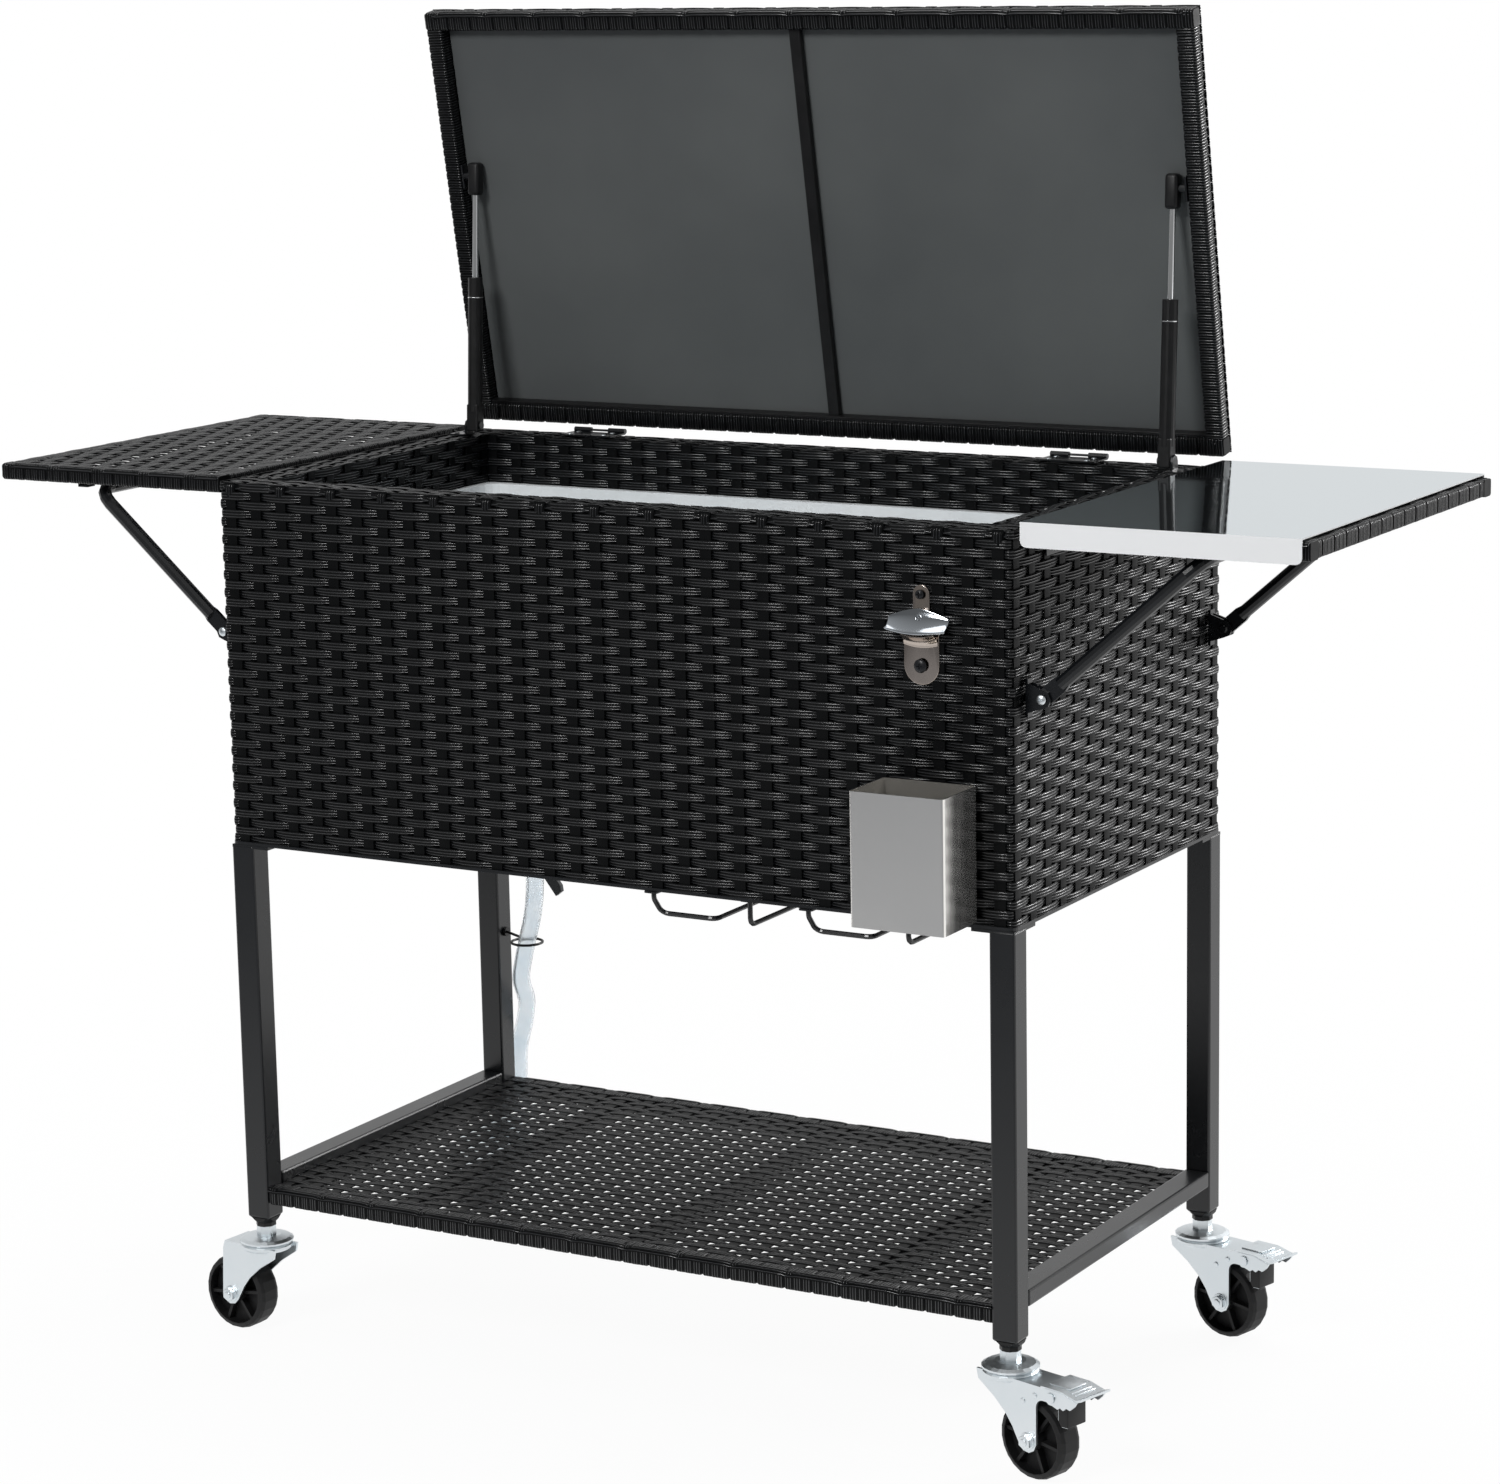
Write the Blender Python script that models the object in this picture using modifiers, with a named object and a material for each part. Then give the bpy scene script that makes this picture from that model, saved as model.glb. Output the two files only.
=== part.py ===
"""Rolling patio cooler: an ice tub in a woven box on four legs with casters.

Metres, +Z up. The origin is on the floor, under the middle of the whole
cart as it stands open. The box's own middle lies CART_SHIFT behind it.
"""
import math

import bmesh
import bpy
from mathutils import Matrix, Vector

# Clearances and tools
GAP = 0.0003
OVERRUN = 0.002
SEAM = 0.0004
WELD_DISTANCE = 0.00002
ROUND_SIDES = 20
SMALL_SIDES = 12
HEX_SIDES = 6
ARC_STEPS = 4
BEND_STEPS = 4
EDGE_STEPS = 2
SMOOTH_ANGLE = math.radians(35)
BEVEL_ANGLE = math.radians(40)

# Box
BOX_WIDTH = 0.840
BOX_DEPTH = 0.450
BOX_BOTTOM = 0.496
BOX_TOP = 0.848
BOX_CORNER = 0.007
SKIN = 0.006
RIM_WIDTH = 0.040
RIM_DROP = 0.050
PANEL = 0.003

# Tub that holds the ice
TUB_WALL = 0.005
TUB_FLANGE = 0.014
TUB_DRAFT = 0.012
TUB_CORNER = 0.025
TUB_CLEARANCE = 0.0015
TUB_LIFT = 0.0155

# Legs, rails and shelf
LEG_TUBE = 0.025
LEG_WALL = 0.0015
LEG_CORNER = 0.002
LEG_BOTTOM = 0.120
LEG_FLANGE = 0.042
LEG_FLANGE_THICK = 0.003
RAIL_HEIGHT = 0.0155
RAIL_BOTTOM = 0.147
SHELF_TOP = 0.154
SHELF_WEAVE = 0.006
SHELF_BAR = 0.0095
SHELF_SLAT = 0.012
SHELF_SLAT_SHARES = (-0.30, 0, 0.30)

# Lid, modelled closed and then turned open
LID_DEPTH = 0.4265
LID_BAR_WIDTH = 0.0188
LID_BAR_HEIGHT = 0.017
LID_RECESS = 0.0145
LID_BOARD = 0.0025
LID_SKIN = 0.0035
LID_CENTRE_BAR = 0.012
LID_CENTRE_DROP = 0.006
LID_OPEN = math.radians(79.6)
HINGE_SET_BACK = 0.003
HINGE_HEIGHT = 0.0035
HINGE_TO_LID = 0.0038
HINGE_TO_UNDERSIDE = 0.0017
HINGE_FROM_END = 0.150
HINGE_LEAF_WIDTH = 0.060
HINGE_LEAF_DEPTH = 0.030
HINGE_LEAF = 0.0016
HINGE_BARREL = 0.0027
HINGE_PIN = 0.0012
HINGE_KNUCKLE = 0.020
HINGE_SCREW = 0.0030
HINGE_SCREW_HEAD = 0.0011

# Gas struts
STRUT_FROM_END = 0.034
STRUT_FOOT_FROM_REAR = 0.053
STRUT_PIVOT_RISE = 0.010
STRUT_REACH = 0.262
STRUT_TUBE = 0.0075
STRUT_TUBE_TOP = 0.1505
STRUT_COLLAR = 0.0004
STRUT_COLLAR_LENGTH = 0.020
STRUT_ROD = 0.003
STRUT_ROD_INSIDE = 0.050
STRUT_BORE_BOTTOM = 0.034
STRUT_FITTING_WIDTH = 0.013
STRUT_FITTING_DEPTH = 0.0135
STRUT_FITTING_LENGTH = 0.028
STRUT_FITTING_BELOW = 0.0062
STRUT_CAP_LENGTH = 0.028
STRUT_CAP_BEYOND = 0.009
STRUT_CAP_CORNER = 0.0035
STRUT_PIN = 0.003
STRUT_PIN_HEAD = 0.0012
EAR = 0.0024
EAR_WIDTH = 0.012
EAR_FOOT = 0.016
EAR_FOOT_LENGTH = 0.026
STUD_BASE = 0.0022
STUD_BASE_LENGTH = 0.024
STUD_BASE_WIDTH = 0.011
STUD = 0.004

# Side trays, their hinges and hooks
TRAY_CLEARANCE = 0.0035
TRAY_LENGTH = 0.265
TRAY_WIDTH = 0.432
TRAY_THICK = 0.018
TRAY_RISE = 0.0055
TRAY_BAR = 0.018
TRAY_EDGE = 0.004
TRAY_WEAVE = 0.005
TRAY_SLAT = 0.057
TRAY_SLAT_THICK = 0.0035
TRAY_SLAT_INSET = 0.0565
PAN_SHEET = 0.0012
PAN_SKIRT = 0.022
PAN_SETBACK = 0.007
PAN_CORNER = 0.006
TRAY_HINGE_OUT = 0.0075
TRAY_HINGE_BELOW = 0.0055
TRAY_BARREL = 0.003
TRAY_PIN = 0.0015
TRAY_KNUCKLE = 0.014
TRAY_LEAF = 0.0016
TRAY_LEAF_REACH = 0.026
TRAY_STRIP_HALF = 0.170
TRAY_STRIP_DROP = 0.032
TRAY_KNUCKLE_Y = 0.140
HOOK_STRIP = 0.0025
HOOK_WIDTH = 0.012
HOOK_DEPTH = 0.010
HOOK_LIP = 0.012
HOOK_Y = 0.165

# Folding braces
BRACE_TUBE = 0.0065
BRACE_BEND = 0.020
BRACE_LEG_Y = 0.197
BRACE_PIVOT_OUT = 0.016
BRACE_PIVOT_DROP = 0.149
BRACE_BAR_REACH = 0.165
BRACE_FLAT = 0.0046
BRACE_FLAT_WIDTH = 0.015
BRACE_FLAT_LENGTH = 0.036
BRACE_PIN = 0.003
BRACKET_BASE = 0.0025
BRACKET_HEIGHT = 0.034
BRACKET_EAR = 0.002
BRACKET_EAR_RADIUS = 0.0085
BRACKET_SIDE_PLAY = 0.0006
BRACKET_HEAD = 0.0045
BRACKET_HEAD_THICK = 0.002

# Bottle opener and cap catcher on the front
OPENER_FROM_END = 0.088
OPENER_TOP = 0.796
OPENER_SHEET = 0.0025
OPENER_HEIGHT = 0.088
OPENER_TAB = 0.008
OPENER_WING = 0.030
OPENER_LOWER = 0.017
OPENER_HOOD_OUT = 0.017
OPENER_HOOD_THICK = 0.0035
OPENER_SCREW = 0.0035
OPENER_SCREW_HEAD = 0.0018
CATCHER_FROM_END = 0.081
CATCHER_WIDTH = 0.092
CATCHER_DEPTH = 0.065
CATCHER_HEIGHT = 0.121
CATCHER_BOTTOM = 0.502
CATCHER_SHEET = 0.0012
CATCHER_CORNER = 0.003
CATCHER_SCREW_Y = 0.030

# Stemware hangers under the box
WIRE = 0.0024
RACK_DROP = 0.0245
RACK_FRONT = 0.012
RACK_LENGTH = 0.260
RACK_SLOT = 0.040
RACK_FLARE = 0.057
RACK_FROM_END = (0.368, 0.207)
RACK_PLATE = 0.0015
RACK_PLATE_WIDTH = 0.014
RACK_BEND = 0.007

# Drain, tap and hose
DRAIN_FROM_END = 0.1155
DRAIN_FROM_REAR = 0.091
DRAIN_SHANK = 0.010
DRAIN_FLANGE = 0.018
DRAIN_FLANGE_THICK = 0.0025
DRAIN_BORE = 0.0042
DRAIN_PIPE = 0.0075
DRAIN_NUT = 0.016
DRAIN_NUT_THICK = 0.008
DRAIN_BODY = 0.0115
DRAIN_BODY_LENGTH = 0.030
DRAIN_NECK = 0.026
DRAIN_BARB = 0.0065
DRAIN_BARB_LENGTH = 0.014
TAP_NECK = 0.0055
TAP_NECK_LENGTH = 0.006
TAP_LEVER = 0.005
TAP_HUB = 0.0085
TAP_WIDTH = 0.0115
TAP_REACH = 0.071
TAP_TURN = math.radians(-38)
HOSE_OUTER = 0.0093
HOSE_INNER = 0.0072
HOSE_STEP = 0.022
HOSE_FIRST_HEIGHT = 0.4120
HOSE_ROUTE = (
    (0.1135, 0.0885, 0.3920),
    (0.1065, 0.0800, 0.3700),
    (0.0930, 0.0650, 0.3450),
    (0.0750, 0.0455, 0.3200),
    (0.0585, 0.0290, 0.2930),
    (0.0460, 0.0160, 0.2650),
    (0.0400, -0.0025, 0.2380),
    (0.0295, -0.0145, 0.2120),
    (0.0190, -0.0185, 0.1800),
    (0.0160, -0.0205, 0.1500),
    (0.0150, -0.0210, 0.1250),
)
TIE_Z = 0.314
TIE_RADIUS = 0.0165
TIE_WIRE = 0.0014
TIE_TAB = 0.005
TIE_FROM_END = 0.0713
TIE_FROM_REAR = 0.0418

# Casters
WHEEL_RADIUS = 0.0375
WHEEL_WIDTH = 0.026
WHEEL_RIM = 0.006
WHEEL_WEB = 0.005
WHEEL_HUB = 0.010
WHEEL_HUB_WIDTH = 0.028
WHEEL_CORNER = 0.005
WHEEL_RIBS = 6
WHEEL_RIB = 0.003
WHEEL_FACES = 24
AXLE = 0.004
AXLE_HEAD = 0.0065
AXLE_HEAD_THICK = 0.0045
CASTER_TRAIL = 0.035
FORK_SHEET = 0.0025
FORK_INSIDE = 0.030
FORK_TOP = 0.0915
FORK_FOOT = 0.0105
FORK_SHOULDER = 0.008
FORK_FOOT_START = 205
FORK_FOOT_END = 355
FORK_LEAD_CURVE = (
    (-0.67, 0.83),
    (-0.13, 0.60),
    (0.26, 0.38),
    (0.50, 0.18),
    (0.60, 0.06),
)
RACE_RADIUS = 0.0255
RACE_THICK = 0.0068
RACE_LIP = 0.002
STEM_HEX = 0.0095
STEM_HEX_HEIGHT = 0.0097
STEM_BOLT = 0.0045
STEM_BOLT_RISE = 0.030
PLUG_TAPER = 0.010
PLUG_NECK = 0.010
PLUG_INSERT = 0.020
PEDAL_PIVOT_X = 0.065
PEDAL_PIVOT_DROP = 0.006
PEDAL_SHEET = 0.0022
PEDAL_WIDTH = 0.034
PEDAL_TIP = 0.100
PEDAL_TIP_DROP = 0.004
PEDAL_BACK = 0.012
PEDAL_CURL = 0.006
PEDAL_SIDE = 0.007
PEDAL_SIDE_REACH = 0.030
PEDAL_SCALLOPS = (
    (0.26, 1.25),
    (0.36, 0.95),
    (0.48, 1.20),
    (0.60, 0.75),
    (0.74, 0.90),
    (0.90, 0.30),
    (1.00, -0.35),
)
PEDAL_SHOE_LOW = 0.058
PEDAL_RIVET = 0.0028
PEDAL_SHOE_WIDTH = 0.024
PEDAL_SHOE_CLEAR = 0.0042
PEDAL_SHOE_REACH = 0.0105
CASTER_TURNS = {
    "front_left": (-1, -1, math.radians(174), False),
    "front_right": (1, -1, math.radians(-16), True),
    "rear_left": (-1, 1, math.radians(172), False),
    "rear_right": (1, 1, math.radians(-14), True),
}

# Places worked out from the sizes above
HALF_W = BOX_WIDTH / 2
HALF_D = BOX_DEPTH / 2
LEG_X = HALF_W - LEG_TUBE / 2
LEG_Y = HALF_D - LEG_TUBE / 2
HINGE_Y = HALF_D + HINGE_SET_BACK
HINGE_Z = BOX_TOP + HINGE_HEIGHT
LID_REAR = HINGE_Y - HINGE_TO_LID
LID_FRONT = LID_REAR - LID_DEPTH
LID_UNDER = HINGE_Z + HINGE_TO_UNDERSIDE
LID_TOP = LID_UNDER + LID_BAR_HEIGHT
LID_BACK_REACH = HINGE_TO_UNDERSIDE + LID_BAR_HEIGHT + GAP + LID_SKIN
HINGE_SPREAD = HALF_W - HINGE_FROM_END
STRUT_X = HALF_W - STRUT_FROM_END
STRUT_FOOT_Y = HALF_D - STRUT_FOOT_FROM_REAR
STRUT_Z = BOX_TOP + STRUT_PIVOT_RISE
TRAY_INNER = HALF_W + TRAY_CLEARANCE
TRAY_OUTER = TRAY_INNER + TRAY_LENGTH
TRAY_TOP = BOX_TOP + TRAY_RISE
TRAY_UNDER = TRAY_TOP - TRAY_THICK
TRAY_HINGE_X = HALF_W + TRAY_HINGE_OUT
TRAY_HINGE_Z = TRAY_UNDER - TRAY_HINGE_BELOW
BRACE_PIVOT_X = HALF_W + BRACE_PIVOT_OUT
BRACE_PIVOT_Z = BOX_TOP - BRACE_PIVOT_DROP
BRACE_BAR_X = HALF_W + BRACE_BAR_REACH
BRACE_BAR_Z = TRAY_UNDER - GAP - BRACE_TUBE
AXLE_Z = WHEEL_RADIUS * math.cos(math.pi / WHEEL_FACES)
SHELL_BOTTOM = BOX_BOTTOM + PANEL + GAP
TUB_FLOOR = SHELL_BOTTOM + TUB_LIFT
OPENER_X = HALF_W - OPENER_FROM_END
CATCHER_X = HALF_W - CATCHER_FROM_END
RACK_LEFTS = tuple(HALF_W - from_end for from_end in RACK_FROM_END)
DRAIN_X = DRAIN_FROM_END - HALF_W
DRAIN_Y = HALF_D - DRAIN_FROM_REAR
TIE_POINT = (TIE_FROM_END - HALF_W, HALF_D - TIE_FROM_REAR)
VALVE_TOP = BOX_BOTTOM - GAP - DRAIN_NUT_THICK
VALVE_MIDDLE = VALVE_TOP - DRAIN_NECK - DRAIN_BODY_LENGTH / 2
HOSE_START = (DRAIN_X, DRAIN_Y, VALVE_MIDDLE - DRAIN_BODY_LENGTH / 2 - GAP)
FRONT_REACH = HALF_D + GAP + CATCHER_DEPTH
REAR_REACH = (HINGE_Y + LID_BACK_REACH * math.sin(LID_OPEN)
              - HINGE_TO_LID * math.cos(LID_OPEN))
CART_SHIFT = (FRONT_REACH - REAR_REACH) / 2

# Colours, roughness and metallic value of each finish
FINISHES = {
    "wicker": ((0.012, 0.012, 0.013), 0.42, 0),
    "frame_paint": ((0.016, 0.018, 0.022), 0.38, 0),
    "tub_plastic": ((0.80, 0.82, 0.83), 0.35, 0),
    "lid_board": ((0.075, 0.080, 0.083), 0.55, 0),
    "black_plastic": ((0.010, 0.010, 0.010), 0.45, 0),
    "zinc": ((0.62, 0.65, 0.67), 0.28, 1),
    "stainless": ((0.66, 0.66, 0.66), 0.22, 1),
    "hose_vinyl": ((0.72, 0.78, 0.82), 0.25, 0),
    "tap_grey": ((0.12, 0.13, 0.14), 0.45, 0),
    "wheel_black": ((0.012, 0.012, 0.012), 0.50, 0),
}
X_AXIS = Vector((1, 0, 0))
Y_AXIS = Vector((0, 1, 0))
Z_AXIS = Vector((0, 0, 1))


def clear_scene():
    for old in list(bpy.data.objects):
        bpy.data.objects.remove(old, do_unlink=True)


def make_collection(name):
    collection = bpy.data.collections.new(name)
    bpy.context.scene.collection.children.link(collection)
    return collection


def make_material(name):
    colour, roughness, metallic = FINISHES[name]
    material = bpy.data.materials.new(name)
    material.use_nodes = True
    shader = material.node_tree.nodes["Principled BSDF"]
    shader.inputs["Base Color"].default_value = (*colour, 1)
    shader.inputs["Roughness"].default_value = roughness
    shader.inputs["Metallic"].default_value = metallic
    return material


clear_scene()
PARTS = make_collection("rolling_patio_cooler")
BENCH = make_collection("bench")
MATERIALS = {name: make_material(name) for name in FINISHES}
CART = bpy.data.objects.new("cart", None)
CART.location = (0, CART_SHIFT, 0)
PARTS.objects.link(CART)


def shape_of(mesh):
    """A bench object that holds a shape until it becomes a piece."""
    shape = bpy.data.objects.new("shape", mesh)
    BENCH.objects.link(shape)
    return shape


def shape_from_bmesh(bm):
    mesh = bpy.data.meshes.new("shape")
    bm.to_mesh(mesh)
    bm.free()
    return shape_of(mesh)


def settle(shape):
    """Turn a shape's curve or modifiers into plain mesh."""
    graph = bpy.context.evaluated_depsgraph_get()
    mesh = bpy.data.meshes.new_from_object(shape.evaluated_get(graph))
    mesh.transform(shape.matrix_world)
    settled = shape_of(mesh)
    bpy.data.objects.remove(shape, do_unlink=True)
    return settled


def weld(shape):
    bm = bmesh.new()
    bm.from_mesh(shape.data)
    bmesh.ops.remove_doubles(bm, verts=bm.verts, dist=WELD_DISTANCE)
    bmesh.ops.recalc_face_normals(bm, faces=bm.faces)
    bm.to_mesh(shape.data)
    bm.free()
    return shape


def moved(shape, offset):
    shape.data.transform(Matrix.Translation(offset))
    return shape


def turned_by(shape, angle, axis, centre=(0, 0, 0)):
    pivot = Matrix.Translation(centre)
    shape.data.transform(pivot @ Matrix.Rotation(angle, 4, axis) @ pivot.inverted())
    return shape


def mirrored(shape, axis):
    """Reflect a shape through the plane square to axis, faces kept outward."""
    shape.data.transform(Matrix.Scale(-1, 4, axis))
    shape.data.flip_normals()
    return shape


def on_side(shape, side):
    return shape if side > 0 else mirrored(shape, X_AXIS)


def block(size, centre):
    bm = bmesh.new()
    bmesh.ops.create_cube(bm, size=1)
    bmesh.ops.scale(bm, vec=size, verts=bm.verts)
    bmesh.ops.translate(bm, vec=centre, verts=bm.verts)
    return shape_from_bmesh(bm)


def span(low, high):
    """A block between two corners."""
    size = [b - a for a, b in zip(low, high)]
    centre = [(a + b) / 2 for a, b in zip(low, high)]
    return block(size, centre)


def cylinder(radius, start, end, sides=SMALL_SIDES, top_radius=None):
    start, end = Vector(start), Vector(end)
    length = (end - start).length
    bm = bmesh.new()
    bmesh.ops.create_cone(bm, cap_ends=True, segments=sides, radius1=radius,
                          radius2=radius if top_radius is None else top_radius,
                          depth=length)
    turn = Z_AXIS.rotation_difference(end - start).to_matrix().to_4x4()
    bmesh.ops.transform(bm, matrix=Matrix.Translation((start + end) / 2) @ turn,
                        verts=bm.verts)
    return shape_from_bmesh(bm)


def combine(base, tools, operation):
    for tool in tools:
        modifier = base.modifiers.new("combine", "BOOLEAN")
        modifier.operation = operation
        modifier.object = tool
        base = settle(base)
        bpy.data.objects.remove(tool, do_unlink=True)
    return base


def fuse(base, *tools):
    return combine(base, tools, "UNION")


def carve(base, *tools):
    return combine(base, tools, "DIFFERENCE")


def soften(shape, width, steps=EDGE_STEPS):
    modifier = shape.modifiers.new("round edges", "BEVEL")
    modifier.width = width
    modifier.segments = steps
    modifier.limit_method = "ANGLE"
    modifier.angle_limit = BEVEL_ANGLE
    return settle(shape)


def arc(centre, radius, start, end, steps=ARC_STEPS):
    """Points on an arc from start to end, both in degrees."""
    points = []
    for step in range(steps + 1):
        angle = math.radians(start + (end - start) * step / steps)
        points.append((centre[0] + radius * math.cos(angle),
                       centre[1] + radius * math.sin(angle)))
    return points


def rounded_rectangle(width, height, radius, steps=ARC_STEPS):
    x, y = width / 2 - radius, height / 2 - radius
    return (arc((x, y), radius, 0, 90, steps) + arc((-x, y), radius, 90, 180, steps)
            + arc((-x, -y), radius, 180, 270, steps) + arc((x, -y), radius, 270, 360, steps))


def plate(outlines, thickness):
    """A flat sheet about z = 0: the first outline less the others."""
    curve = bpy.data.curves.new("outline", "CURVE")
    curve.dimensions = "2D"
    curve.fill_mode = "BOTH"
    curve.extrude = thickness / 2
    for outline in outlines:
        spline = curve.splines.new("POLY")
        spline.points.add(len(outline) - 1)
        for point, (x, y) in zip(spline.points, outline):
            point.co = (x, y, 0, 1)
        spline.use_cyclic_u = True
    return weld(settle(shape_of(curve)))


def standing_along_y(shape, y):
    """Stand a flat sheet up in the X-Z plane, its middle at y."""
    shape.data.transform(Matrix.Translation((0, y, 0)) @ Matrix.Rotation(math.pi / 2, 4, "X"))
    return shape


def standing_along_x(shape, x):
    """Stand a flat sheet up in the Y-Z plane, its middle at x."""
    turn = Matrix(((0, 0, 1, x), (1, 0, 0, 0), (0, 1, 0, 0), (0, 0, 0, 1)))
    shape.data.transform(turn)
    return shape


def bent_path(corners, radius, steps=BEND_STEPS):
    """Straight runs joined by rounded bends."""
    corners = [Vector(corner) for corner in corners]
    path = [corners[0]]
    for before, corner, after in zip(corners, corners[1:], corners[2:]):
        back = (before - corner).normalized()
        ahead = (after - corner).normalized()
        half = back.angle(ahead) / 2
        reach = radius / math.tan(half)
        centre = corner + (back + ahead).normalized() * radius / math.sin(half)
        first = (corner + back * reach - centre).normalized()
        last = (corner + ahead * reach - centre).normalized()
        for step in range(steps + 1):
            path.append(centre + first.slerp(last, step / steps) * radius)
    return path + [corners[-1]]


def smooth_route(points, step):
    """Points a step apart on a smooth curve through the given ones."""
    points = [Vector(point) for point in points]
    ends = [points[0] * 2 - points[1]] + points + [points[-1] * 2 - points[-2]]
    fine = []
    for a, b, c, d in zip(ends, ends[1:], ends[2:], ends[3:]):
        for part in range(ROUND_SIDES):
            t = part / ROUND_SIDES
            fine.append(0.5 * (2 * b + (c - a) * t + (2 * a - 5 * b + 4 * c - d) * t ** 2
                               + (3 * b - a - 3 * c + d) * t ** 3))
    fine.append(points[-1])
    total = sum((b - a).length for a, b in zip(fine, fine[1:]))
    count = max(2, round(total / step))
    route, travelled, goal = [fine[0]], 0, total / count
    for a, b in zip(fine, fine[1:]):
        travelled += (b - a).length
        if travelled >= goal and len(route) < count:
            route.append(b)
            goal += total / count
    return route + [fine[-1]]


def tube(path, radius, rounding=2):
    curve = bpy.data.curves.new("route", "CURVE")
    curve.dimensions = "3D"
    curve.bevel_depth = radius
    curve.bevel_resolution = rounding
    curve.use_fill_caps = True
    spline = curve.splines.new("POLY")
    spline.points.add(len(path) - 1)
    for point, place in zip(spline.points, path):
        point.co = (*place, 1)
    return weld(settle(shape_of(curve)))


def lathe(profile, steps=ROUND_SIDES):
    """Turn a profile of radius and height about the Z axis."""
    mesh = bpy.data.meshes.new("profile")
    edges = [(i, i + 1) for i in range(len(profile) - 1)]
    mesh.from_pydata([(radius, 0, height) for radius, height in profile], edges, [])
    shape = shape_of(mesh)
    screw = shape.modifiers.new("lathe", "SCREW")
    screw.steps = steps
    screw.render_steps = steps
    screw.use_merge_vertices = True
    screw.merge_threshold = WELD_DISTANCE
    return weld(settle(shape))


def ring_shell(rings, thickness):
    """A skin through stacked rounded rectangles, thickened inward."""
    bm = bmesh.new()
    loops = []
    for width, depth, radius, height in rings:
        outline = rounded_rectangle(width, depth, radius)
        loops.append([bm.verts.new((x, y, height)) for x, y in outline])
    for lower, upper in zip(loops, loops[1:]):
        for i in range(len(lower)):
            j = (i + 1) % len(lower)
            bm.faces.new((lower[i], lower[j], upper[j], upper[i]))
    shape = shape_from_bmesh(bm)
    solidify = shape.modifiers.new("skin", "SOLIDIFY")
    solidify.thickness = thickness
    solidify.offset = -1
    solidify.use_even_offset = True
    return settle(shape)


def piece(name, shape, finish, origin=(0, 0, 0), parent=CART, turn=(0, 0, 0)):
    """Name a finished shape, give it its finish and put it in the cart."""
    mesh = shape.data
    mesh.transform(Matrix.Translation(-Vector(origin)))
    mesh.name = name
    mesh.materials.clear()
    mesh.materials.append(MATERIALS[finish])
    mesh.shade_smooth()
    mesh.set_sharp_from_angle(angle=SMOOTH_ANGLE)
    part = bpy.data.objects.new(name, mesh)
    bpy.data.objects.remove(shape, do_unlink=True)
    PARTS.objects.link(part)
    part.parent = parent
    part.location = origin
    part.rotation_euler = turn
    return part


def seat(name, place, turn=(0, 0, 0)):
    """An empty that carries the pieces of one moving group."""
    empty = bpy.data.objects.new(name, None)
    PARTS.objects.link(empty)
    empty.parent = CART
    empty.location = place
    empty.rotation_euler = turn
    return empty


def screw_head(radius, thick, place, outward):
    place = Vector(place)
    return cylinder(radius, place - Vector(outward) * SEAM, place + Vector(outward) * thick,
                    SMALL_SIDES, radius * 0.7)


def build_box():
    bottom = SHELL_BOTTOM
    inside_w = BOX_WIDTH - 2 * RIM_WIDTH
    inside_d = BOX_DEPTH - 2 * RIM_WIDTH
    shell = ring_shell([
        (BOX_WIDTH, BOX_DEPTH, BOX_CORNER, bottom),
        (BOX_WIDTH, BOX_DEPTH, BOX_CORNER, BOX_TOP),
        (inside_w, inside_d, BOX_CORNER, BOX_TOP),
        (inside_w, inside_d, BOX_CORNER, BOX_TOP - RIM_DROP),
    ], SKIN)
    piece("box_shell", shell, "wicker")


def build_bottom_panel():
    outline = rounded_rectangle(BOX_WIDTH, BOX_DEPTH, BOX_CORNER)
    hole = [(DRAIN_X + x, DRAIN_Y + y)
            for x, y in arc((0, 0), DRAIN_SHANK + GAP, 0, 360, ROUND_SIDES)[:-1]]
    panel = moved(plate([outline, hole], PANEL), (0, 0, BOX_BOTTOM + PANEL / 2))
    piece("bottom_panel", panel, "frame_paint")


def build_tub():
    top = BOX_TOP - RIM_DROP - GAP
    width = BOX_WIDTH - 2 * RIM_WIDTH - 2 * TUB_CLEARANCE
    depth = BOX_DEPTH - 2 * RIM_WIDTH - 2 * TUB_CLEARANCE
    rings = [
        (width + 2 * TUB_FLANGE, depth + 2 * TUB_FLANGE, TUB_CORNER, top - TUB_WALL),
        (width, depth, TUB_CORNER, top - TUB_WALL),
        (width - 2 * TUB_DRAFT, depth - 2 * TUB_DRAFT, TUB_CORNER, TUB_FLOOR),
    ]
    bm = bmesh.new()
    loops = []
    for ring_width, ring_depth, radius, height in rings:
        outline = rounded_rectangle(ring_width, ring_depth, radius)
        loops.append([bm.verts.new((x, y, height)) for x, y in outline])
    for outer, inner in zip(loops, loops[1:]):
        for i in range(len(outer)):
            j = (i + 1) % len(outer)
            bm.faces.new((outer[i], inner[i], inner[j], outer[j]))
    bm.faces.new(loops[-1])
    bmesh.ops.recalc_face_normals(bm, faces=bm.faces)
    shape = shape_from_bmesh(bm)
    solidify = shape.modifiers.new("wall", "SOLIDIFY")
    solidify.thickness = TUB_WALL
    solidify.offset = 1
    solidify.use_even_offset = True
    tub = settle(shape)
    lowest = min(vertex.co.z for vertex in tub.data.vertices)
    moved(tub, (0, 0, TUB_FLOOR - lowest))
    hole = cylinder(DRAIN_SHANK + GAP, (DRAIN_X, DRAIN_Y, TUB_FLOOR - OVERRUN),
                    (DRAIN_X, DRAIN_Y, TUB_FLOOR + TUB_WALL + OVERRUN), ROUND_SIDES)
    piece("ice_tub", carve(tub, hole), "tub_plastic")


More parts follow.
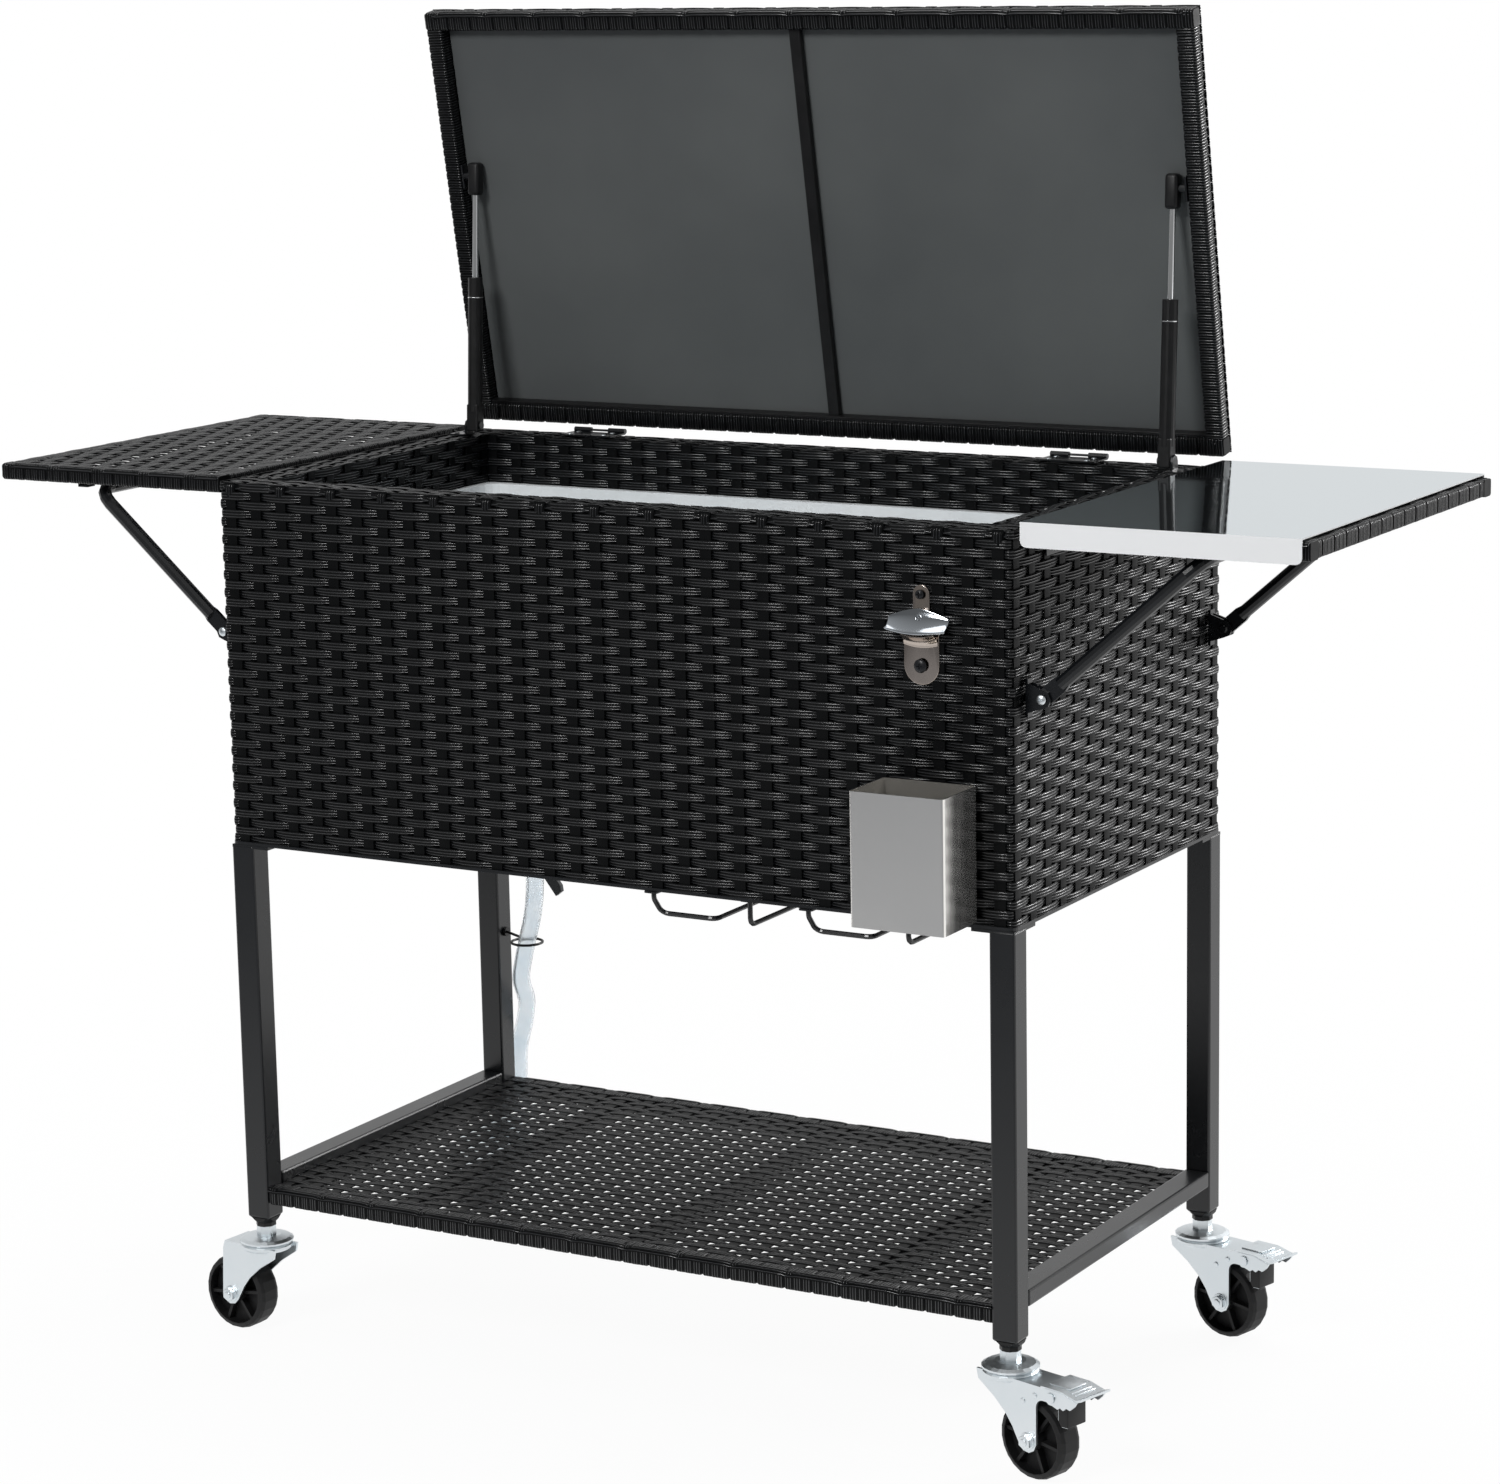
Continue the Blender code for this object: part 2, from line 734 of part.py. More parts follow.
def build_legs():
    top = BOX_BOTTOM - GAP
    for name, (side, back, _, _) in CASTER_TURNS.items():
        x, y = side * LEG_X, back * LEG_Y
        leg = soften(span((x - LEG_TUBE / 2, y - LEG_TUBE / 2, LEG_BOTTOM),
                          (x + LEG_TUBE / 2, y + LEG_TUBE / 2, top - SEAM)), LEG_CORNER)
        bore = LEG_TUBE / 2 - LEG_WALL
        hollow = span((x - bore, y - bore, LEG_BOTTOM - OVERRUN),
                      (x + bore, y + bore, top - LEG_FLANGE_THICK - SEAM))
        inset = LEG_TUBE / 2 - SEAM - LEG_FLANGE / 2
        flange = block((LEG_FLANGE, LEG_FLANGE, LEG_FLANGE_THICK),
                       (x + side * inset, y + back * inset, top - LEG_FLANGE_THICK / 2))
        piece("leg_" + name, fuse(carve(leg, hollow), flange), "frame_paint")


def build_rails():
    reach = HALF_D - LEG_TUBE - GAP
    for name, side in (("left", -1), ("right", 1)):
        low = RAIL_BOTTOM
        rail = soften(span((side * LEG_X - LEG_TUBE / 2, -reach, low),
                           (side * LEG_X + LEG_TUBE / 2, reach, low + RAIL_HEIGHT)), LEG_CORNER)
        hollow = span((side * LEG_X - LEG_TUBE / 2 + LEG_WALL, -reach - OVERRUN, low + LEG_WALL),
                      (side * LEG_X + LEG_TUBE / 2 - LEG_WALL, reach + OVERRUN,
                       low + RAIL_HEIGHT - LEG_WALL))
        piece("side_rail_" + name, carve(rail, hollow), "frame_paint")


def build_shelf():
    half_x = HALF_W - LEG_TUBE - GAP
    half_y = HALF_D - GAP
    bar_z = SHELF_TOP - SHELF_BAR
    shelf = block((2 * (half_x - SHELF_BAR), 2 * (half_y - SHELF_BAR), SHELF_WEAVE),
                  (0, 0, SHELF_TOP - SHELF_WEAVE / 2 - SEAM))
    for end in (-1, 1):
        y = end * (half_y - SHELF_BAR)
        shelf = fuse(shelf, cylinder(SHELF_BAR, (-half_x, y, bar_z), (half_x, y, bar_z)))
        x = end * (half_x - SHELF_BAR)
        shelf = fuse(shelf, cylinder(SHELF_BAR - SEAM, (x, SHELF_BAR - half_y, bar_z),
                                     (x, half_y - SHELF_BAR, bar_z)))
    for share in SHELF_SLAT_SHARES:
        x = share * BOX_WIDTH
        slat = span((x - SHELF_SLAT / 2, SHELF_BAR - half_y, bar_z - SHELF_BAR / 2),
                    (x + SHELF_SLAT / 2, half_y - SHELF_BAR, SHELF_TOP - SHELF_WEAVE))
        shelf = fuse(shelf, slat)
    piece("shelf", shelf, "wicker")


def lid_place():
    """Where lid pieces, modelled closed, turn to stand open."""
    return {"origin": (0, HINGE_Y, HINGE_Z), "turn": (-LID_OPEN, 0, 0)}


def build_lid():
    front, rear, under = LID_FRONT, LID_REAR, LID_UNDER
    top = under + LID_BAR_HEIGHT
    frame = soften(span((-HALF_W, front, under), (HALF_W, rear, top)), LEG_CORNER)
    inner = span((LID_BAR_WIDTH - HALF_W, front + LID_BAR_WIDTH, under - OVERRUN),
                 (HALF_W - LID_BAR_WIDTH, rear - LID_BAR_WIDTH, top + OVERRUN))
    frame = carve(frame, inner)
    board_low = under + LID_RECESS
    centre = span((-LID_CENTRE_BAR / 2, front + LID_BAR_WIDTH - SEAM, board_low - LID_CENTRE_DROP),
                  (LID_CENTRE_BAR / 2, rear - LID_BAR_WIDTH + SEAM, board_low - GAP))
    frame = fuse(frame, centre)
    for side in (-1, 1):
        x = side * HINGE_SPREAD
        leaf = span((x - HINGE_LEAF_WIDTH / 2, rear - LID_BAR_WIDTH, under - HINGE_LEAF),
                    (x + HINGE_LEAF_WIDTH / 2, rear - SEAM, under + SEAM))
        web = span((x - HINGE_KNUCKLE / 2, rear - OVERRUN, under - HINGE_LEAF),
                   (x + HINGE_KNUCKLE / 2, HINGE_Y, under))
        barrel = cylinder(HINGE_BARREL, (x - HINGE_KNUCKLE / 2, HINGE_Y, HINGE_Z),
                          (x + HINGE_KNUCKLE / 2, HINGE_Y, HINGE_Z))
        hole = cylinder(HINGE_PIN + GAP, (x - HINGE_KNUCKLE, HINGE_Y, HINGE_Z),
                        (x + HINGE_KNUCKLE, HINGE_Y, HINGE_Z))
        frame = fuse(frame, leaf, carve(fuse(web, barrel), hole))
    piece("lid_frame", frame, "wicker", **lid_place())
    board = span((LID_BAR_WIDTH - HALF_W + GAP, front + LID_BAR_WIDTH + GAP, board_low),
                 (HALF_W - LID_BAR_WIDTH - GAP, rear - LID_BAR_WIDTH - GAP, board_low + LID_BOARD))
    piece("lid_lining", board, "lid_board", **lid_place())
    skin = plate([rounded_rectangle(BOX_WIDTH, LID_DEPTH, BOX_CORNER)], LID_SKIN)
    moved(skin, (0, (front + rear) / 2, top + GAP + LID_SKIN / 2))
    piece("lid_cover", skin, "wicker", **lid_place())


def build_lid_hinges():
    for name, side in (("left", -1), ("right", 1)):
        x = side * HINGE_SPREAD
        low = BOX_TOP + GAP
        leaf = span((x - HINGE_LEAF_WIDTH / 2, HINGE_Y - HINGE_LEAF_DEPTH, low),
                    (x + HINGE_LEAF_WIDTH / 2, HALF_D, low + HINGE_LEAF))
        clear = HINGE_KNUCKLE / 2 + GAP
        half = HINGE_LEAF_WIDTH / 2
        for end in (-1, 1):
            web = span((min(x + end * clear, x + end * half), HALF_D - OVERRUN, low),
                       (max(x + end * clear, x + end * half), HINGE_Y, low + HINGE_LEAF))
            barrel = cylinder(HINGE_BARREL, (x + end * clear, HINGE_Y, HINGE_Z),
                              (x + end * half, HINGE_Y, HINGE_Z))
            leaf = fuse(leaf, web, barrel)
            head = (x + end * half / 2, HINGE_Y - HINGE_LEAF_DEPTH / 2, low + HINGE_LEAF)
            leaf = fuse(leaf, screw_head(HINGE_SCREW, HINGE_SCREW_HEAD, head, Z_AXIS))
        pin = cylinder(HINGE_PIN, (x - clear - OVERRUN, HINGE_Y, HINGE_Z),
                       (x + clear + OVERRUN, HINGE_Y, HINGE_Z))
        piece("lid_hinge_" + name, fuse(leaf, pin), "frame_paint")


def strut_ends():
    """Lean and length of a strut with the lid open."""
    over, up = -STRUT_REACH, STRUT_Z - HINGE_Z
    sine, cosine = math.sin(LID_OPEN), math.cos(LID_OPEN)
    top_y = HINGE_Y + over * cosine + up * sine
    top_z = HINGE_Z - over * sine + up * cosine
    lean = math.atan2(top_y - STRUT_FOOT_Y, top_z - STRUT_Z)
    return lean, math.hypot(top_y - STRUT_FOOT_Y, top_z - STRUT_Z)


def build_struts():
    lean, length = strut_ends()
    for name, side in (("left", -1), ("right", 1)):
        foot = (side * STRUT_X, STRUT_FOOT_Y, STRUT_Z)
        carrier = seat("strut_foot_" + name, foot, (-lean, 0, 0))
        fitting = soften(span((-STRUT_FITTING_WIDTH / 2, -STRUT_FITTING_DEPTH / 2,
                               -STRUT_FITTING_BELOW),
                              (STRUT_FITTING_WIDTH / 2, STRUT_FITTING_DEPTH / 2,
                               STRUT_FITTING_LENGTH - STRUT_FITTING_BELOW)), LEG_WALL)
        barrel = lathe([(0, STRUT_FITTING_LENGTH / 2), (STRUT_TUBE, STRUT_FITTING_LENGTH / 2),
                        (STRUT_TUBE, STRUT_TUBE_TOP - STRUT_COLLAR_LENGTH),
                        (STRUT_TUBE - STRUT_COLLAR, STRUT_TUBE_TOP - STRUT_COLLAR_LENGTH),
                        (STRUT_TUBE - STRUT_COLLAR, STRUT_TUBE_TOP - STRUT_COLLAR_LENGTH + SEAM),
                        (STRUT_TUBE, STRUT_TUBE_TOP - STRUT_COLLAR_LENGTH + SEAM),
                        (STRUT_TUBE, STRUT_TUBE_TOP - STRUT_COLLAR),
                        (STRUT_TUBE - STRUT_COLLAR, STRUT_TUBE_TOP), (0, STRUT_TUBE_TOP)])
        bore = cylinder(STRUT_ROD + GAP, (0, 0, STRUT_BORE_BOTTOM),
                        (0, 0, STRUT_TUBE_TOP + OVERRUN))
        eye = cylinder(STRUT_PIN + GAP, (-STRUT_FITTING_WIDTH, 0, 0), (STRUT_FITTING_WIDTH, 0, 0))
        body = carve(fuse(fitting, barrel), bore, eye)
        piece("strut_tube_" + name, body, "black_plastic", parent=carrier)
        rod = cylinder(STRUT_ROD, (0, 0, STRUT_TUBE_TOP - STRUT_ROD_INSIDE), (0, 0, length))
        cap_z = length + STRUT_CAP_BEYOND - STRUT_CAP_LENGTH / 2
        cap = block((STRUT_FITTING_WIDTH, STRUT_FITTING_DEPTH, STRUT_CAP_LENGTH), (0, 0, cap_z))
        rod = fuse(soften(cap, STRUT_CAP_CORNER), rod)
        piece("strut_rod_" + name, rod, "zinc", parent=carrier)
        build_strut_ear(name, side)
        build_strut_stud(name, side)


def build_strut_ear(name, side):
    """The rim bracket that the strut's foot turns on."""
    inner = STRUT_X + STRUT_FITTING_WIDTH / 2 + GAP
    low = BOX_TOP + GAP
    foot = span((inner + SEAM, STRUT_FOOT_Y - EAR_FOOT_LENGTH / 2, low),
                (inner + EAR_FOOT, STRUT_FOOT_Y + EAR_FOOT_LENGTH / 2, low + HINGE_LEAF))
    outline = arc((STRUT_FOOT_Y, STRUT_Z), EAR_WIDTH / 2, 0, 180)
    sole = low + HINGE_LEAF / 2
    outline += [(STRUT_FOOT_Y - EAR_WIDTH / 2, sole), (STRUT_FOOT_Y + EAR_WIDTH / 2, sole)]
    ear = standing_along_x(plate([outline], EAR), inner + EAR / 2)
    head_x = STRUT_X - STRUT_FITTING_WIDTH / 2 - GAP
    pin = cylinder(STRUT_PIN, (head_x - STRUT_PIN_HEAD / 2, STRUT_FOOT_Y, STRUT_Z),
                   (inner + EAR / 2, STRUT_FOOT_Y, STRUT_Z))
    head = cylinder(STRUT_PIN + STRUT_PIN_HEAD, (head_x - STRUT_PIN_HEAD, STRUT_FOOT_Y, STRUT_Z),
                    (head_x, STRUT_FOOT_Y, STRUT_Z))
    shape = fuse(foot, ear, fuse(pin, head))
    for end in (-1, 1):
        place = (inner + EAR_FOOT * 0.65, STRUT_FOOT_Y + end * EAR_FOOT_LENGTH * 0.3,
                 low + HINGE_LEAF)
        shape = fuse(shape, screw_head(HINGE_SCREW, HINGE_SCREW_HEAD, place, Z_AXIS))
    piece("strut_ear_" + name, on_side(shape, side), "frame_paint")


def build_strut_stud(name, side):
    """The stud on the lid's side bar that the strut's cap hangs from."""
    y = HINGE_Y - STRUT_REACH
    wall = HALF_W - LID_BAR_WIDTH - GAP
    low = STRUT_Z - STUD_BASE_WIDTH / 2 + STUD_BASE
    base = soften(span((wall - STUD_BASE, y - STUD_BASE_LENGTH / 2, low),
                       (wall, y + STUD_BASE_LENGTH / 2, STRUT_Z + STUD_BASE_WIDTH / 2)), SEAM)
    tip = STRUT_X + STRUT_FITTING_WIDTH / 2 + GAP
    stud = cylinder(STUD, (tip, y, STRUT_Z), (wall - STUD_BASE / 2, y, STRUT_Z))
    shape = on_side(fuse(base, stud), side)
    piece("strut_stud_" + name, shape, "frame_paint", **lid_place())


def tray_hook(out, y):
    """The hook under a tray that catches the brace's bar."""
    up = TRAY_UNDER + TRAY_SLAT_THICK / 2
    low = TRAY_UNDER - HOOK_DEPTH
    outline = [(out, low), (out, up), (out - HOOK_STRIP, up),
               (out - HOOK_STRIP, low + HOOK_STRIP), (out - HOOK_LIP, low + HOOK_STRIP),
               (out - HOOK_LIP, low)]
    return soften(standing_along_y(plate([outline], HOOK_WIDTH), y), SEAM)


def tray_knuckle(y):
    """A tray's own half of a hinge, bored for the pin."""
    low, high = y - TRAY_KNUCKLE / 2, y + TRAY_KNUCKLE / 2
    leaf = span((TRAY_HINGE_X, low, TRAY_UNDER - TRAY_LEAF),
                (TRAY_HINGE_X + TRAY_LEAF_REACH, high, TRAY_UNDER + SEAM))
    web = span((TRAY_HINGE_X - TRAY_BARREL / 2, low + SEAM, TRAY_HINGE_Z),
               (TRAY_HINGE_X + TRAY_BARREL, high - SEAM, TRAY_UNDER - SEAM))
    barrel = cylinder(TRAY_BARREL, (TRAY_HINGE_X, low, TRAY_HINGE_Z),
                      (TRAY_HINGE_X, high, TRAY_HINGE_Z))
    hole = cylinder(TRAY_PIN + GAP, (TRAY_HINGE_X, y - TRAY_KNUCKLE, TRAY_HINGE_Z),
                    (TRAY_HINGE_X, y + TRAY_KNUCKLE, TRAY_HINGE_Z))
    return carve(fuse(leaf, web, barrel), hole)


def tray_frame():
    """A tray's wrapped frame with its woven top, slat, hooks and knuckles."""
    half = TRAY_WIDTH / 2
    frame = soften(span((TRAY_INNER, -half, TRAY_UNDER), (TRAY_OUTER, half, TRAY_TOP)), TRAY_EDGE)
    pocket = span((TRAY_INNER + TRAY_BAR, TRAY_BAR - half, TRAY_UNDER - OVERRUN),
                  (TRAY_OUTER - TRAY_BAR, half - TRAY_BAR, TRAY_TOP - TRAY_WEAVE))
    frame = carve(frame, pocket)
    slat_out = TRAY_OUTER - TRAY_SLAT_INSET
    slat = span((slat_out - TRAY_SLAT, TRAY_BAR - half - OVERRUN, TRAY_UNDER + SEAM),
                (slat_out, half - TRAY_BAR + OVERRUN, TRAY_UNDER + SEAM + TRAY_SLAT_THICK))
    frame = fuse(frame, slat)
    for end in (-1, 1):
        frame = fuse(frame, tray_hook(slat_out - OVERRUN, end * HOOK_Y),
                     tray_knuckle(end * TRAY_KNUCKLE_Y))
    return frame


def build_trays():
    origin = (TRAY_HINGE_X, 0, TRAY_HINGE_Z)
    piece("right_tray_frame", tray_frame(), "wicker", origin=origin)
    left_origin = (-TRAY_HINGE_X, 0, TRAY_HINGE_Z)
    piece("left_tray", on_side(tray_frame(), -1), "wicker", origin=left_origin)
    half = TRAY_WIDTH / 2 + GAP + PAN_SHEET
    out = TRAY_OUTER - PAN_SETBACK
    top = TRAY_TOP + GAP + PAN_SHEET
    sheet = span((TRAY_INNER, -half, top - PAN_SHEET), (out, half, top))
    width = out - TRAY_INNER
    for end in (-1, 1):
        outline = rounded_rectangle(width, PAN_SKIRT, PAN_CORNER)
        skirt = standing_along_y(plate([outline], PAN_SHEET), end * (half - PAN_SHEET / 2))
        moved(skirt, ((TRAY_INNER + out) / 2, 0, top - PAN_SKIRT / 2))
        cover = span((TRAY_INNER, min(end * half, end * (half - PAN_SHEET)), top - PAN_CORNER * 2),
                     (out, max(end * half, end * (half - PAN_SHEET)), top - SEAM))
        sheet = fuse(sheet, fuse(skirt, cover))
    piece("right_tray_pan", sheet, "stainless", origin=origin)


def build_tray_hinges():
    """The strip on each side wall that carries the tray's hinge pins."""
    for name, side in (("left", -1), ("right", 1)):
        wall = HALF_W + GAP
        strip = span((wall, -TRAY_STRIP_HALF, TRAY_HINGE_Z - TRAY_STRIP_DROP),
                     (wall + TRAY_LEAF, TRAY_STRIP_HALF, TRAY_HINGE_Z + TRAY_BARREL / 2))
        for end in (-1, 1):
            y = end * TRAY_KNUCKLE_Y
            clear = TRAY_KNUCKLE / 2 + GAP
            for hand in (-1, 1):
                near, far = y + hand * clear, y + hand * (clear + TRAY_KNUCKLE)
                barrel = cylinder(TRAY_BARREL, (TRAY_HINGE_X, near, TRAY_HINGE_Z),
                                  (TRAY_HINGE_X, far, TRAY_HINGE_Z))
                web = span((wall + SEAM, min(near, far), TRAY_HINGE_Z - TRAY_BARREL),
                           (TRAY_HINGE_X, max(near, far), TRAY_HINGE_Z))
                strip = fuse(strip, fuse(barrel, web))
            pin = cylinder(TRAY_PIN, (TRAY_HINGE_X, y - clear - OVERRUN, TRAY_HINGE_Z),
                           (TRAY_HINGE_X, y + clear + OVERRUN, TRAY_HINGE_Z))
            strip = fuse(strip, pin)
        piece("tray_hinge_" + name, on_side(strip, side), "frame_paint")


def build_braces():
    pivot = Vector((BRACE_PIVOT_X, 0, BRACE_PIVOT_Z))
    bar = Vector((BRACE_BAR_X, 0, BRACE_BAR_Z))
    along = (bar - pivot).normalized()
    rise = math.atan2(along.z, along.x)
    start = pivot + along * (BRACE_FLAT_LENGTH * 0.6)
    for name, side in (("left", -1), ("right", 1)):
        leg = Vector((0, BRACE_LEG_Y, 0))
        corners = [start - leg, bar - leg, bar + leg, start + leg]
        brace = tube(bent_path(corners, BRACE_BEND), BRACE_TUBE, 4)
        for end in (-1, 1):
            outline = (arc((0, 0), BRACE_FLAT_WIDTH / 2, 90, 270)
                       + [(BRACE_FLAT_LENGTH * 0.6, -BRACE_FLAT_WIDTH / 2),
                          (BRACE_FLAT_LENGTH, -BRACE_TUBE * 0.6),
                          (BRACE_FLAT_LENGTH, BRACE_TUBE * 0.6),
                          (BRACE_FLAT_LENGTH * 0.6, BRACE_FLAT_WIDTH / 2)])
            hole = arc((0, 0), BRACE_PIN + GAP, 0, 360, SMALL_SIDES)[:-1]
            flat = standing_along_y(plate([outline, hole], BRACE_FLAT), 0)
            turned_by(flat, -rise, "Y")
            moved(flat, pivot + Vector((0, end * BRACE_LEG_Y, 0)))
            brace = fuse(brace, flat)
        piece("brace_" + name, on_side(brace, side), "frame_paint",
              origin=(side * BRACE_PIVOT_X, 0, BRACE_PIVOT_Z))


def build_brace_brackets():
    half = BRACE_FLAT / 2 + BRACKET_SIDE_PLAY
    for name, side, end in (("front_left", -1, -1), ("front_right", 1, -1),
                            ("rear_left", -1, 1), ("rear_right", 1, 1)):
        y = end * BRACE_LEG_Y
        wall = HALF_W + GAP
        width = 2 * (half + BRACKET_EAR)
        base = span((wall, y - width / 2, BRACE_PIVOT_Z - BRACKET_HEIGHT / 2),
                    (wall + BRACKET_BASE, y + width / 2, BRACE_PIVOT_Z + BRACKET_HEIGHT / 2))
        for hand in (-1, 1):
            outline = (arc((BRACE_PIVOT_X, BRACE_PIVOT_Z), BRACKET_EAR_RADIUS, -90, 90)
                       + [(wall + SEAM, BRACE_PIVOT_Z + BRACKET_HEIGHT * 0.4),
                          (wall + SEAM, BRACE_PIVOT_Z - BRACKET_HEIGHT * 0.4)])
            ear_y = y + hand * (half + BRACKET_EAR / 2)
            ear = standing_along_y(plate([outline], BRACKET_EAR), ear_y)
            face = y + hand * (half + BRACKET_EAR)
            head = screw_head(BRACKET_HEAD, BRACKET_HEAD_THICK,
                              (BRACE_PIVOT_X, face, BRACE_PIVOT_Z), Y_AXIS * hand)
            base = fuse(base, ear, head)
        pin = cylinder(BRACE_PIN, (BRACE_PIVOT_X, y - half - SEAM, BRACE_PIVOT_Z),
                       (BRACE_PIVOT_X, y + half + SEAM, BRACE_PIVOT_Z))
        piece("brace_bracket_" + name, on_side(fuse(base, pin), side), "frame_paint")


def build_opener():
    """A wall opener: a tab, a winged hood that lifts the cap, and a foot."""
    top = 0
    foot = -OPENER_HEIGHT
    hood_z = -OPENER_HEIGHT * 0.36
    mouth_z = -OPENER_HEIGHT * 0.50
    outline = (arc((0, -OPENER_TAB), OPENER_TAB, 0, 180)
               + [(-OPENER_TAB, hood_z + OPENER_TAB), (-OPENER_LOWER, hood_z)]
               + arc((0, foot + OPENER_LOWER), OPENER_LOWER, 180, 360, ARC_STEPS * 2)
               + [(OPENER_LOWER, hood_z), (OPENER_TAB, hood_z + OPENER_TAB)])
    mouth = rounded_rectangle(OPENER_LOWER * 1.25, OPENER_HEIGHT * 0.14, OPENER_TAB / 2)
    mouth = [(x, z + mouth_z) for x, z in mouth]
    back = standing_along_y(plate([outline, mouth], OPENER_SHEET), -OPENER_SHEET / 2)
    wings = []
    for x_share, z_share in ((-1, 0.16), (-0.62, 0.30), (-0.30, 0.34), (0, 0.34), (0.30, 0.34),
                             (0.62, 0.30), (1, 0.16)):
        wings.append((x_share * OPENER_WING, hood_z + z_share * OPENER_WING))
    for x_share, z_share in ((0.86, -0.06), (0.45, -0.34), (0, -0.44), (-0.45, -0.34),
                             (-0.86, -0.06)):
        wings.append((x_share * OPENER_WING, hood_z + z_share * OPENER_WING))
    hood = standing_along_y(plate([wings], OPENER_HOOD_THICK), 0)
    turned_by(hood, math.radians(-32), "X", (0, 0, hood_z + OPENER_WING * 0.34))
    moved(hood, (0, -OPENER_SHEET, 0))
    root = span((-OPENER_TAB, -OPENER_SHEET - OPENER_HOOD_THICK, hood_z + OPENER_WING * 0.1),
                (OPENER_TAB, -SEAM, hood_z + OPENER_WING * 0.36))
    shape = fuse(back, hood, root)
    for z in (-OPENER_TAB, foot + OPENER_LOWER):
        shape = fuse(shape, screw_head(OPENER_SCREW, OPENER_SCREW_HEAD,
                                       (0, -OPENER_SHEET, z), -Y_AXIS))
    moved(shape, (OPENER_X, -HALF_D - GAP, OPENER_TOP + top))
    piece("bottle_opener", shape, "stainless")


def build_catcher():
    low = (CATCHER_X - CATCHER_WIDTH / 2, -FRONT_REACH, CATCHER_BOTTOM)
    high = (CATCHER_X + CATCHER_WIDTH / 2, -HALF_D - GAP, CATCHER_BOTTOM + CATCHER_HEIGHT)
    outline = rounded_rectangle(CATCHER_WIDTH, CATCHER_DEPTH, CATCHER_CORNER)
    middle = ((low[0] + high[0]) / 2, (low[1] + high[1]) / 2, (low[2] + high[2]) / 2)
    box = moved(plate([outline], CATCHER_HEIGHT), middle)
    inner = rounded_rectangle(CATCHER_WIDTH - 2 * CATCHER_SHEET, CATCHER_DEPTH - 2 * CATCHER_SHEET,
                              CATCHER_CORNER - CATCHER_SHEET)
    hollow = moved(plate([inner], CATCHER_HEIGHT), (middle[0], middle[1],
                                                    middle[2] + CATCHER_SHEET))
    box = carve(box, hollow)
    for end in (-1, 1):
        place = (CATCHER_X + end * CATCHER_WIDTH / 4, high[1] - CATCHER_SHEET,
                 high[2] - CATCHER_SCREW_Y)
        box = fuse(box, screw_head(OPENER_SCREW, OPENER_SCREW_HEAD, place, -Y_AXIS))
    piece("cap_catcher", box, "stainless")


def build_racks():
    """Bent-wire hangers: one long slot each, flared at the front."""
    low = BOX_BOTTOM - RACK_DROP
    top = BOX_BOTTOM - GAP - RACK_PLATE / 2
    front = RACK_FRONT - HALF_D
    for name, left in zip(("left", "right"), RACK_LEFTS):
        near, far = left + RACK_FLARE, left + RACK_FLARE + RACK_SLOT
        back = front + RACK_LENGTH
        corners = [(left, front - RACK_BEND, top), (left, front - RACK_BEND, top - RACK_BEND),
                   (left, front + RACK_BEND, low), (near, front + RACK_BEND, low),
                   (near, back, low), (far, back, low), (far, front, low), (far, front, top)]
        rack = tube(bent_path(corners, RACK_BEND), WIRE)
        middle = (near + far) / 2
        rack = fuse(rack, cylinder(WIRE - SEAM, (middle, back, low), (middle, back, top)))
        feet = ((left, front - RACK_BEND), (far, front), (middle, back))
        for x, y in feet:
            foot = plate([rounded_rectangle(RACK_PLATE_WIDTH, RACK_PLATE_WIDTH, WIRE)], RACK_PLATE)
            rack = fuse(rack, moved(foot, (x, y, top)))
        piece("stemware_rack_" + name, rack, "frame_paint")


def build_drain():
    place = Vector((DRAIN_X, DRAIN_Y, 0))
    flange_low = TUB_FLOOR + TUB_WALL + GAP
    flange_top = flange_low + DRAIN_FLANGE_THICK
    nut_top = BOX_BOTTOM - GAP
    body_top = VALVE_TOP - DRAIN_NECK
    body_low = body_top - DRAIN_BODY_LENGTH
    barb_low = body_low - DRAIN_BARB_LENGTH
    profile = [(0, flange_top), (DRAIN_FLANGE, flange_top), (DRAIN_FLANGE, flange_low),
               (DRAIN_SHANK, flange_low), (DRAIN_SHANK, VALVE_TOP), (DRAIN_PIPE, VALVE_TOP - SEAM),
               (DRAIN_PIPE, body_top), (DRAIN_BODY, body_top - SEAM), (DRAIN_BODY, body_low),
               (DRAIN_BARB, body_low), (DRAIN_BARB, barb_low), (0, barb_low)]
    fitting = lathe(profile)
    nut = cylinder(DRAIN_NUT, (0, 0, VALVE_TOP), (0, 0, nut_top), HEX_SIDES)
    face = -DRAIN_BODY - TAP_NECK_LENGTH
    spindle = cylinder(TAP_NECK, (0, OVERRUN - DRAIN_BODY, VALVE_MIDDLE), (0, face, VALVE_MIDDLE))
    bore = cylinder(DRAIN_BORE, (0, 0, barb_low - OVERRUN), (0, 0, flange_top + OVERRUN))
    fitting = carve(fuse(fitting, nut, spindle), bore)
    piece("drain_fitting", moved(fitting, place), "tap_grey")
    middle = face - GAP - TAP_LEVER / 2
    hub = standing_along_y(plate([arc((0, 0), TAP_HUB, 0, 360, SMALL_SIDES)[:-1]], TAP_LEVER), middle)
    arm = [(-TAP_NECK, 0), (TAP_NECK, 0), (TAP_WIDTH / 2, -TAP_REACH + TAP_NECK),
           (TAP_NECK / 2, -TAP_REACH), (-TAP_WIDTH / 2, -TAP_REACH)]
    lever = standing_along_y(plate([arm], TAP_LEVER), middle)
    lever = turned_by(fuse(hub, lever), TAP_TURN, "Y")
    origin = (DRAIN_X, DRAIN_Y, VALVE_MIDDLE)
    piece("drain_tap_lever", moved(lever, origin), "tap_grey", origin=origin)


